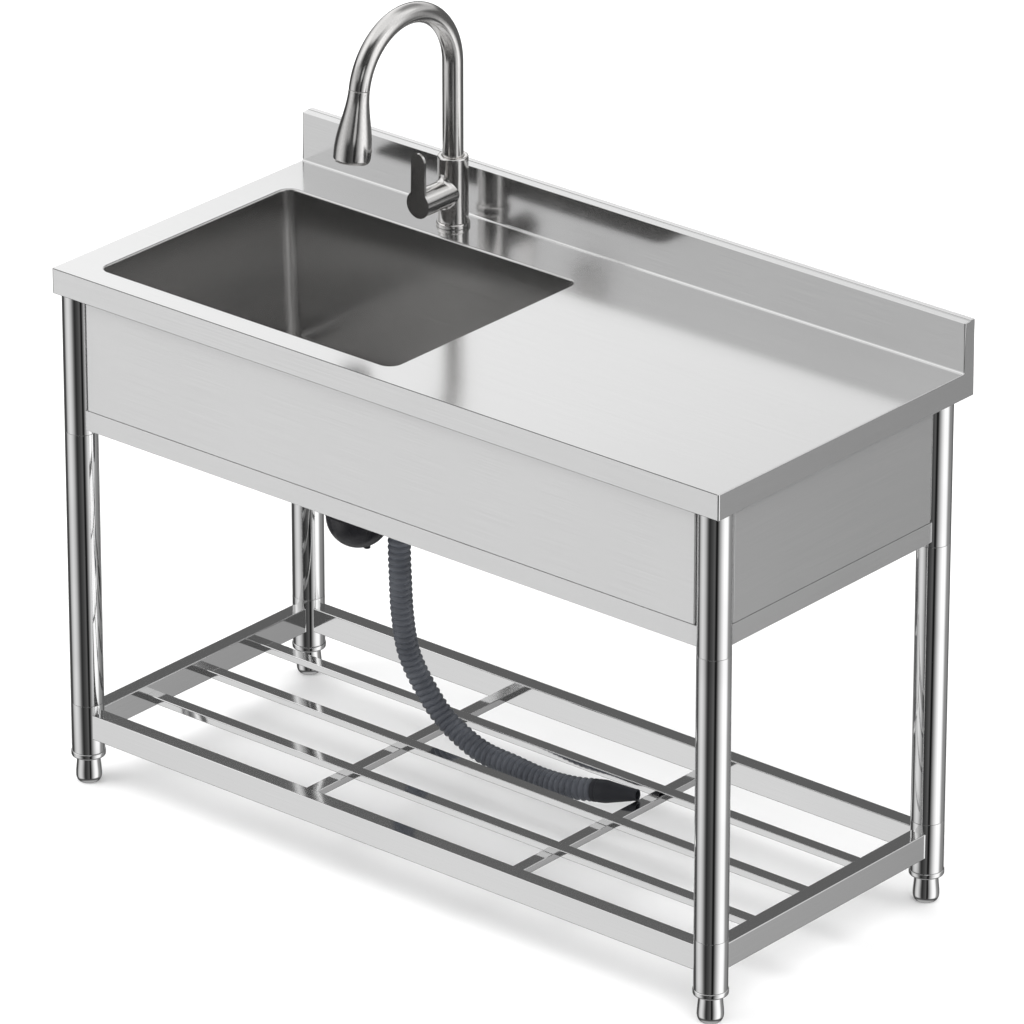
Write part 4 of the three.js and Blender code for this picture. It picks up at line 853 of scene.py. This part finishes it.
def makeTrap():
    size = {"plugOut": 16, "plugRadius": 5, "nutRadius": 28.6, "nutBore": 20.4, "ribs": 20, "ribAt": 28.3,
            "ribHeight": 10, "ribRadius": 1.0, "ribMiddle": 5.6, "stub": (30, 52.3, 40), "wall": 2.5,
            "gap": 0.3, "nutOver": 3.3}
    w = waste
    r, neck, equator, top = w["trapRadius"], w["neckRadius"], w["equator"], w["trapTop"]
    profile = [(r * s, equator - r * c, 0) for s, c in quarterTurn(24)]
    profile += [(r, equator + 3, 0), (r + 1.2, equator + 3.6, 0.4), (r + 1.2, equator + 7.4, 0.4),
                (r, equator + 8, 0), (r, w["shoulder"], 8), (r - 9, w["shoulder"] + 9.5, 7),
                (neck, w["shoulderTop"], 1), (neck, top, 0.6), (0, top, 0)]
    bottle = turned("bottle", profile, drain, 96)
    low = equator - math.sqrt(r ** 2 - size["plugOut"] ** 2)
    plug = turned("plug", post(size["plugRadius"], low - 2.5, low + 3, 1),
                  drain + Vector((size["plugOut"], 0, 0)), 32)
    sideways = Matrix.Translation((drain.x, drain.y, w["outletZ"])) @ Matrix.Rotation(math.pi / 2, 4, "Y")
    outer = w["outletRadius"]
    inner = outer - size["wall"]
    near, far, floor = size["stub"]
    stub = turned("stub", [(0, near, 0), (outer, near, 0), (outer, far, 0.5), (inner, far, 0),
                           (inner, floor, 0), (0, floor, 0)], place=sideways, segments=48)
    made = dress(joined("trapBody", [bottle, plug, stub]), blackPlastic)
    belong(made, "frame", "black_plastic", "trap_body")
    low, seat, high = w["shoulderTop"] + size["gap"], top + size["gap"], top + size["nutOver"]
    outer, bore, neck = size["nutRadius"], size["nutBore"], neck + size["gap"]
    nut = turned("nut", [(neck, low, 0), (outer, low, 0.8), (outer, high - 2, 1.5), (outer - 2.1, high, 1.2),
                         (bore, high, 0), (bore, seat, 0), (neck, seat, 0), (neck, low, 0)], drain)
    ribs = grown("ribs", ribTree(), newObject("ribs", [(0, 0, 0)], []), {
        "Count": size["ribs"], "Radius": size["ribAt"] * mm, "Height": size["ribHeight"] * mm,
        "Thickness": size["ribRadius"] * mm,
        "Middle": (drain.x * mm, drain.y * mm, (low + size["ribMiddle"]) * mm)}, blackPlastic)
    made = dress(joined("trapNut", [nut, ribs]), blackPlastic)
    belong(made, "frame", "black_plastic", "trap_nut")


def makeElbow():
    size = {"start": 52.8, "bend": 24, "tail": 14, "bore": 16.5, "collar": 22, "collarBore": 18}
    w = waste
    bend = size["bend"]
    across = Vector((0, 1, 0))
    origin = Vector((drain.x + size["start"], drain.y, w["outletZ"]))
    stations = [(origin + Vector((bend * s, 0, -bend * (1 - c))), Vector((c, 0, -s)), across)
                for s, c in quarterTurn(16)]
    end = stations[-1][0] + Vector((0, 0, -size["tail"]))
    stations.append((end, Vector((0, 0, -1)), across))
    bent = pipe("bend", stations, w["outletRadius"], size["bore"], 48)
    low, outer, bore = end.z, size["collar"], size["collarBore"]
    groove = outer - 0.9
    collar = turned("collar", [
        (bore, low, 0), (outer, low, 1), (outer, low + 4.5, 0.5), (groove, low + 5, 0.4),
        (groove, low + 7, 0.4), (outer, low + 7.5, 0.5), (outer, low + 12, 1.2), (bore, low + 12, 0),
        (bore, low, 0)], (end.x, drain.y, 0), 64)
    made = dress(joined("outletElbow", [bent, collar]), blackPlastic)
    belong(made, "frame", "black_plastic", "outlet_elbow")


hose = {"crest": 16.8, "root": 14.2, "pitch": 9.6, "straight": 34, "top": (-200.2, 2, 413.0),
        "route": [(-199.6, 3, 341), (-201, 9, 278), (-197, 19, 216), (-174, 31, 160), (-147, 38, 124),
                  (-88, 43, 91), (-25, 46, 83), (28, 47, 79)],
        "cuffStart": (115.5, 54, 87.5), "cuffRest": (180.5, 67, 95.4), "cuffGap": 0.3, "cuffRadius": 16.6,
        "groove": 0.7, "grip": 20, "tipRadius": 8.6, "tip": 5, "cuffLength": 70, "bore": 6}


def splinePoints(points, spacing, fineSteps=40):
    # The same smooth curve through the points as the part's own: centripetal, with mirrored ends.
    points = [Vector(p) for p in points]
    ends = [points[0] * 2 - points[1]] + points + [points[-1] * 2 - points[-2]]
    fine = []
    for i in range(1, len(ends) - 2):
        p = ends[i - 1:i + 3]
        a, b, c = (max((p[k + 1] - p[k]).length_squared ** 0.25, 1e-4) for k in range(3))
        t1 = ((p[1] - p[0]) / a - (p[2] - p[0]) / (a + b) + (p[2] - p[1]) / b) * b
        t2 = ((p[2] - p[1]) / b - (p[3] - p[1]) / (b + c) + (p[3] - p[2]) / c) * b
        for step in range(fineSteps):
            t = step / fineSteps
            fine.append(p[1] * (2 * t ** 3 - 3 * t ** 2 + 1) + t1 * (t ** 3 - 2 * t ** 2 + t)
                        + p[2] * (-2 * t ** 3 + 3 * t ** 2) + t2 * (t ** 3 - t ** 2))
    fine.append(points[-1])
    lengths = [0.0]
    for a, b in zip(fine, fine[1:]):
        lengths.append(lengths[-1] + (b - a).length)
    count = max(2, round(lengths[-1] / spacing))
    even = []
    k = 0
    for i in range(count + 1):
        want = lengths[-1] * i / count
        while k < len(lengths) - 2 and lengths[k + 1] < want:
            k += 1
        share = (want - lengths[k]) / max(lengths[k + 1] - lengths[k], 1e-9)
        even.append(fine[k].lerp(fine[k + 1], min(max(share, 0), 1)))
    return even, lengths[-1]


def hoseTree():
    # Sweeps a circle along the route, its radius rising and falling once each rib.
    graph, given = newTree("ribbedHose", {"Ribs": 53, "Rings a Rib": 10, "Sides": 32, "Root": 0.0142,
                                          "Crest": 0.0168, "Crest Width": 0.55})
    curve = graph.take("GeometryNodeMeshToCurve", None, {"Mesh": given["Geometry"]})
    even = graph.take("GeometryNodeResampleCurve", None,
                      {"Curve": curve, "Count": given["Ribs"] * given["Rings a Rib"] + 1})
    phase = graph.take("GeometryNodeInputIndex") / given["Rings a Rib"] * (2 * math.pi)
    height = (0.5 - phase.math("COSINE") * 0.5) ** given["Crest Width"]
    radius = given["Root"] + (given["Crest"] - given["Root"]) * height
    ring = graph.take("GeometryNodeCurvePrimitiveCircle", None,
                      {"Resolution": given["Sides"], "Radius": 1.0})
    upright = graph.take("GeometryNodeSetCurveNormal", None, {"Curve": even})
    return endTree(graph, graph.take("GeometryNodeCurveToMesh", None, {
        "Curve": upright, "Profile Curve": ring, "Scale": radius, "Fill Caps": True}))


def makeHose():
    h = hose
    top = Vector(h["top"])
    cuffStart = Vector(h["cuffStart"])
    axis = (Vector(h["cuffRest"]) - cuffStart).normalized()
    end = cuffStart - axis * h["cuffGap"]
    control = [top, top - Vector((0, 0, h["straight"])), *h["route"], end - axis * h["straight"], end]
    path, length = splinePoints(control, 4)
    made = grown("drainHose", hoseTree(), polyline("drainHose", path), {
        "Ribs": round(length / h["pitch"]), "Root": h["root"] * mm, "Crest": h["crest"] * mm}, hosePlastic)
    dress(made, hosePlastic, 60)
    belong(made, "frame", "grey_hose", "drain_hose")
    turn = Vector((0, 0, 1)).rotation_difference(axis).to_matrix().to_4x4()
    outer, tip, bore, end = h["cuffRadius"], h["tipRadius"], h["bore"], h["cuffLength"]
    groove = outer - h["groove"]
    cuff = turned("hoseCuff", [
        (bore, 0, 0), (outer, 0, 0.8), (outer, 5, 0.4), (groove, 5.6, 0.3), (groove, 8, 0.3),
        (outer, 8.6, 0.4), (outer, h["grip"], 3), (tip, end - h["tip"], 2), (tip, end, 0.4),
        (bore, end, 0.6), (bore, 0, 0)], place=Matrix.Translation(cuffStart) @ turn, segments=64)
    belong(dress(cuff, cuffRubber), "frame", "dark_rubber", "hose_cuff")


makeStrainer()
makeTrap()
makeElbow()
makeHose()
print("waste made")


def makeTapBody():
    size = {"ringRadius": 24.3, "ringBore": 16.8, "ringLow": 795.3, "ringTop": 802, "radius": 22, "top": 901,
            "shank": 16.5, "shankEnd": 745, "gap": 0.3, "arm": 20, "reach": 49, "flare": 8,
            "straightRows": 16, "flareRows": 12, "rise": 1.3, "sag": 0.6, "sunk": 8,
            "chamber": (17.7, 20, 60), "socket": 15.4, "socketFloor": 880}
    outer, bore, low, high = size["ringRadius"], size["ringBore"], size["ringLow"], size["ringTop"]
    ring = turned("tapBaseRing", [(bore, low, 0), (outer, low, 0.5), (outer, high - 1.6, 1.4),
                                  (outer - 1.6, high, 0.6), (bore, high, 0), (bore, low, 0)], tapCentre, 96)
    belong(dress(ring, tapSteel), "frame", "tap_steel", "tap_base_ring")
    seat, top, radius = high + size["gap"], size["top"], size["radius"]
    column = turned("column", [
        (0, size["shankEnd"], 0), (size["shank"], size["shankEnd"], 1), (size["shank"], seat, 0),
        (radius, seat, 0.7), (radius, top, 2.6), (size["socket"] + 1.2, top, 0.8),
        (size["socket"], top - 1.4, 0), (size["socket"], size["socketFloor"], 0),
        (0, size["socketFloor"], 0)], tapCentre, 128)
    dress(column, tapSteel)
    straight, segments = size["straightRows"], 96
    verts = []
    for row in range(straight + size["flareRows"] + 1):
        for c, s in circle(segments):
            wide = size["arm"] * c
            # The flare follows the round body, so each point has its own root.
            root = math.sqrt(radius ** 2 - wide ** 2)
            if row < straight:
                out = size["reach"] - (size["reach"] - root - size["flare"]) * row / straight
                swell = 0
            else:
                turn = (row - straight) / size["flareRows"] * math.pi / 2
                out = root + size["flare"] * (1 - math.sin(turn))
                swell = size["flare"] * (1 - math.cos(turn))
            tall = size["arm"] * s + swell * (size["rise"] * max(s, 0) ** 4 - size["sag"] * max(-s, 0) ** 2)
            verts.append((tap["x"] + wide, tap["y"] - out, tap["armHeight"] + tall))
    verts += [(x, tap["y"] - size["sunk"], z) for x, y, z in verts[-segments:]]
    faces = ringFaces(len(verts) // segments, segments)
    faces += [tuple(range(segments)), tuple(range(len(verts) - segments, len(verts)))]
    arm = dress(newObject("arm", verts, faces), tapSteel)
    boolean(arm, turnedSolid("chamber", *size["chamber"], armPlace), "DIFFERENCE")
    boolean(column, arm, "UNION")
    column.name = "tapBody"
    softEdges(dress(column, tapSteel, 30, recalculate=False), radius=0.5, segments=3, angle=38)
    belong(weighted(column), "frame", "tap_steel", "tap_body")
    dressedCopy("tap_mounting_nut", "tapMountingNut", "frame", "tap_steel", tapSteel, 0.8)


def makeHandle():
    size = {"start": 49.3, "length": 27, "radius": 20.5, "cavity": 15, "cavityDepth": 20, "lever": 77,
            "rootWidth": 26.6, "tipWidth": 24, "thickness": 4}
    start = size["start"]
    face = start + size["length"]
    hub = turnedSolid("hub", size["radius"], start, face, armPlace, 128)
    half, tip, tall = size["rootWidth"] / 2, size["tipWidth"] / 2, size["lever"]
    outline = [(-half, 0), (half, 0)]
    for step in range(25):
        angle = step / 24 * math.pi
        outline.append((tip * math.cos(angle), tall - tip + tip * math.sin(angle)))
    front = tap["y"] - face
    lever = prism("lever", *[[(tap["x"] + x, y, tap["armHeight"] + z) for x, z in outline]
                             for y in (front, front + size["thickness"])])
    boolean(hub, dress(lever, tapSteel), "UNION")
    cavity = turnedSolid("cavity", size["cavity"], start - 2, start + size["cavityDepth"], armPlace)
    boolean(hub, cavity, "DIFFERENCE")
    hub.name = "mixerHandle"
    softEdges(dress(hub, tapSteel, 30, recalculate=False), radius=0.7, segments=3, angle=35)
    belong(weighted(hub), "lever", "tap_steel", "mixer_handle")
    dressedCopy("cartridge_turret", "cartridgeStem", "temperature_turret", "pale_plastic", paleNylon, 0.3)
    dressedCopy("mixer_cartridge", "mixerCartridge", "frame", "pale_plastic", paleNylon, 0.3)


def makeSpout():
    size = {"radius": 15, "bore": 13, "start": 861.3, "archStart": 1041, "arch": 100, "angle": 170,
            "archSteps": 72}
    across = Vector((1, 0, 0))
    stations = [(tapCentre + Vector((0, 0, z)), Vector((0, 0, 1)), across)
                for z in (size["start"], 900, 901.5, 940, 980, 1010)]
    for step in range(size["archSteps"] + 1):
        angle = math.radians(size["angle"]) * step / size["archSteps"]
        s, c = math.sin(angle), math.cos(angle)
        spot = Vector((tap["x"], tap["y"] - size["arch"] * (1 - c), size["archStart"] + size["arch"] * s))
        stations.append((spot, Vector((0, -s, c)), across))
    made = dress(pipe("spoutTube", stations, size["radius"], size["bore"], 64), tapSteel)
    softEdges(made, radius=0.7, segments=2, angle=60)
    belong(made, "spout_arm", "tap_steel", "spout")
    return stations[-1]


def makeHead(end):
    size = {"gap": 0.3, "neck": 15, "bulge": 26.6, "bulgeAt": 88, "mouth": 23.8, "length": 103, "tail": 6,
            "tailBore": 3, "tailLength": 32, "nozzle": 19.3, "nozzleDeep": 5, "inside": 16.5}
    centre, axis, across = end
    turn = Matrix((across, axis.cross(across), axis)).transposed().to_4x4()
    length, tail, bore, back = size["length"], size["tail"], size["tailBore"], -size["tailLength"]
    profile = [(bore, back, 0), (tail, back, 0.8), (tail, 0, 0), (size["neck"], 0, 1.2)]
    for step in range(1, 25):
        t = step / 24
        blend = t * t * (3 - 2 * t)
        profile.append((size["neck"] + (size["bulge"] - size["neck"]) * blend, size["bulgeAt"] * t, 0))
    nozzle, seat = size["nozzle"], length - size["nozzleDeep"]
    profile += [(size["bulge"] - 0.2, length - 4.5, 2.5), (size["mouth"] + 0.8, length - 0.6, 1.2),
                (size["mouth"] - 1.4, length, 0.8), (nozzle, length, 0.3), (nozzle, seat, 0),
                (size["inside"], seat, 0), (7.5, 15, 2), (bore, 11, 0), (bore, back, 0)]
    place = Matrix.Translation(centre + axis * size["gap"]) @ turn
    made = dress(turned("sprayHead", profile, place=place, segments=96), tapSteel)
    belong(made, "spray", "tap_steel", "spray_head")
    dressedCopy("spray_nozzle", "sprayFace", "spray", "dark_rubber", gasketRubber, 0.25)


makeTapBody()
makeHandle()
makeHead(makeSpout())
dressedCopy("deck_stiffener", "deckStiffener", "frame", "satin_steel", steel["satinPanel"], 0.4)
print("tap made")


def linear(value):
    share = value / 255
    return share / 12.92 if share <= 0.04045 else ((share + 0.055) / 1.055) ** 2.4


def glowing(name):
    # A surface that only shines; the caller sets its colour or its strength.
    material, graph, glow = blankMaterial(name, "ShaderNodeEmission", {"Strength": 1.0})
    material.cycles.emission_sampling = "NONE"
    return material, graph, glow


def onlyReflected(made, material):
    made.data.materials.append(material)
    for sight in ("camera", "diffuse", "shadow", "transmission", "volume_scatter"):
        setattr(made, "visible_" + sight, False)


def makeStudio():
    studio = {
        "floorSize": 60.0, "worldLight": 1.5, "shellRadius": 9.0, "gain": 1.15, "highGain": 1.5,
        # What polished metal sees low down: degrees round from +X, and grey.
        "ring": [(-180, 66), (-168, 66), (-158, 160), (-150, 188), (-140, 206), (-129, 213), (-118, 200),
                 (-110, 180), (-103, 152), (-97, 115), (-90, 72), (-83, 42), (-62, 70), (-50, 88), (-46, 70),
                 (-42, 30), (-38, 12), (-33, 40), (-29, 90), (-14, 180), (-6, 215), (10, 255), (30, 255),
                 (38, 228), (46, 160), (52, 143), (75, 125), (96, 66), (112, 160), (150, 170), (164, 80),
                 (172, 66)],
        # The same at about 24 degrees up, as brightness: the worktop mirrors it.
        "highRing": [(-180, 0.5), (-172, 0.5), (-163, 0.7), (-155, 1.0), (-145, 0.95), (-130, 0.66),
                     (-115, 0.55), (-100, 0.4), (-84, 0.35), (-68, 0.05), (-30, 0.05), (-20, 0.1),
                     (-8, 0.75), (5, 1.2), (15, 1.25), (30, 0.9), (45, 0.7), (60, 0.6), (80, 0.55),
                     (95, 0.6), (110, 0.8), (122, 0.93), (130, 1.01), (138, 1.12), (147, 1.12), (156, 0.8),
                     (165, 0.5)],
        # And at about 45 degrees up, seen by folds and by the top of the spout.
        "topRing": [(-180, 1.0), (-145, 1.15), (-125, 1.0), (-110, 0.5), (-98, 0.2), (-85, 0.05),
                    (-50, 0.06), (-25, 0.12), (0, 0.6), (20, 0.9), (60, 1.0), (72, 0.6), (95, 0.3),
                    (118, 0.33), (132, 0.7), (146, 1.0)],
        # From the ground up, each belt blends in between two elevations.
        "ground": 0.40,
        "belts": [(0.07, (-64, -44)), ("ring", (-42, -30)), ("highRing", (13, 21)), ("topRing", (29, 37)),
                  (0.9, (58, 72))],
        # A dark spot low behind the unit outlines the tops of tubes; a light one shows the deck from behind.
        "spots": [{"at": (135, 7), "inner": 9, "outer": 15, "share": 0.85, "level": 0.0},
                  {"at": (-46, 20), "inner": 5, "outer": 10, "share": 0.9, "level": 0.65}],
        "card": {"x": (-2800, 600), "y": 1200, "z": (250, 1220), "level": 0.125},
        "lights": {"key": {"at": (-2.2, -2.6, 3.6), "size": 2.4, "power": 60},
                   "fill": {"at": (2.8, -1.0, 2.6), "size": 2.0, "power": 20}},
        "lightsAim": (0, 0, 0.5),
    }
    world = bpy.data.worlds.new("studio")
    world.use_nodes = True
    background = world.node_tree.nodes["Background"]
    background.inputs[0].default_value = (1, 1, 1, 1)
    background.inputs[1].default_value = studio["worldLight"]
    world.cycles_visibility.glossy = False
    scene.world = world

    bpy.ops.mesh.primitive_plane_add(size=studio["floorSize"], location=(0, 0, 0))
    floor = bpy.context.object
    floor.name = "floor"
    material, graph, point, feed = newMaterial("paleFloor")
    cloud = graph.noise(point, 0.8)
    feed(graph.mixColour(cloud, {"dark": grey(0.90), "light": grey(0.93)}), 0.6 + cloud * 0.1)
    floor.data.materials.append(material)
    floor.visible_glossy = False

    bpy.ops.mesh.primitive_uv_sphere_add(segments=64, ring_count=32, radius=studio["shellRadius"],
                                         location=(0, 0, 0))
    shell = bpy.context.object
    shell.name = "studioShell"
    material, graph, glow = glowing("studioShell")
    point = graph.take("ShaderNodeTexCoord", out="Object")
    towards = graph.take("ShaderNodeVectorMath", {"operation": "NORMALIZE"}, {0: point})
    x, y, z = graph.split(towards)
    around = y.math("ARCTAN2", x) / (2 * math.pi) + 0.5

    def ringLevel(name):
        stops = studio[name]
        if name == "ring":
            stops = [(degrees, linear(value) * studio["gain"]) for degrees, value in stops]
        stops = [((degrees + 180) / 360, level / studio["highGain"]) for degrees, level in stops]
        ramp = graph.take("ShaderNodeValToRGB", {"stops": stops}, {0: around})
        return graph.take("ShaderNodeSeparateColor", None, {0: ramp}) * studio["highGain"]

    level = studio["ground"]
    for above, reach in studio["belts"]:
        if isinstance(above, str):
            above = ringLevel(above)
        low, high = (math.sin(math.radians(elevation)) for elevation in reach)
        rise = graph.smoothStep(z, low, high)
        level = level * (1 - rise) + above * rise
    for spot in studio["spots"]:
        a, e = (math.radians(part) for part in spot["at"])
        middle = (math.cos(a) * math.cos(e), math.sin(a) * math.cos(e), math.sin(e))
        near = graph.take("ShaderNodeVectorMath", {"operation": "DOT_PRODUCT"}, {0: towards, 1: middle},
                          out=1)
        inner, outer = (math.cos(math.radians(spot[part])) for part in ("inner", "outer"))
        cover = graph.smoothStep(near, outer, inner) * spot["share"]
        level = level * (1 - cover) + cover * spot["level"]
    graph.tree.links.new(level.socket, glow.inputs["Strength"])
    onlyReflected(shell, material)

    # A dark card behind the shelf, which the shelf's rails mirror.
    card = studio["card"]
    (left, right), (low, high) = card["x"], card["z"]
    outline = ((left, low), (right, low), (right, high), (left, high))
    made = newObject("behindShelf", [(x, card["y"], z) for x, z in outline], [(0, 1, 2, 3)])
    material, graph, glow = glowing("behindShelf")
    glow.inputs["Color"].default_value = grey(card["level"])
    onlyReflected(made, material)

    for name, given in studio["lights"].items():
        data = bpy.data.lights.new(name, "AREA")
        data.size = given["size"]
        data.energy = given["power"]
        lamp = linked(name, data)
        lamp.location = given["at"]
        towards = Vector(studio["lightsAim"]) - lamp.location
        lamp.rotation_euler = towards.to_track_quat("-Z", "Y").to_euler()
        lamp.visible_camera = False
        lamp.visible_glossy = False
    scene.view_settings.view_transform = "Standard"
    scene.view_settings.look = "None"


makeStudio()
print("studio made")
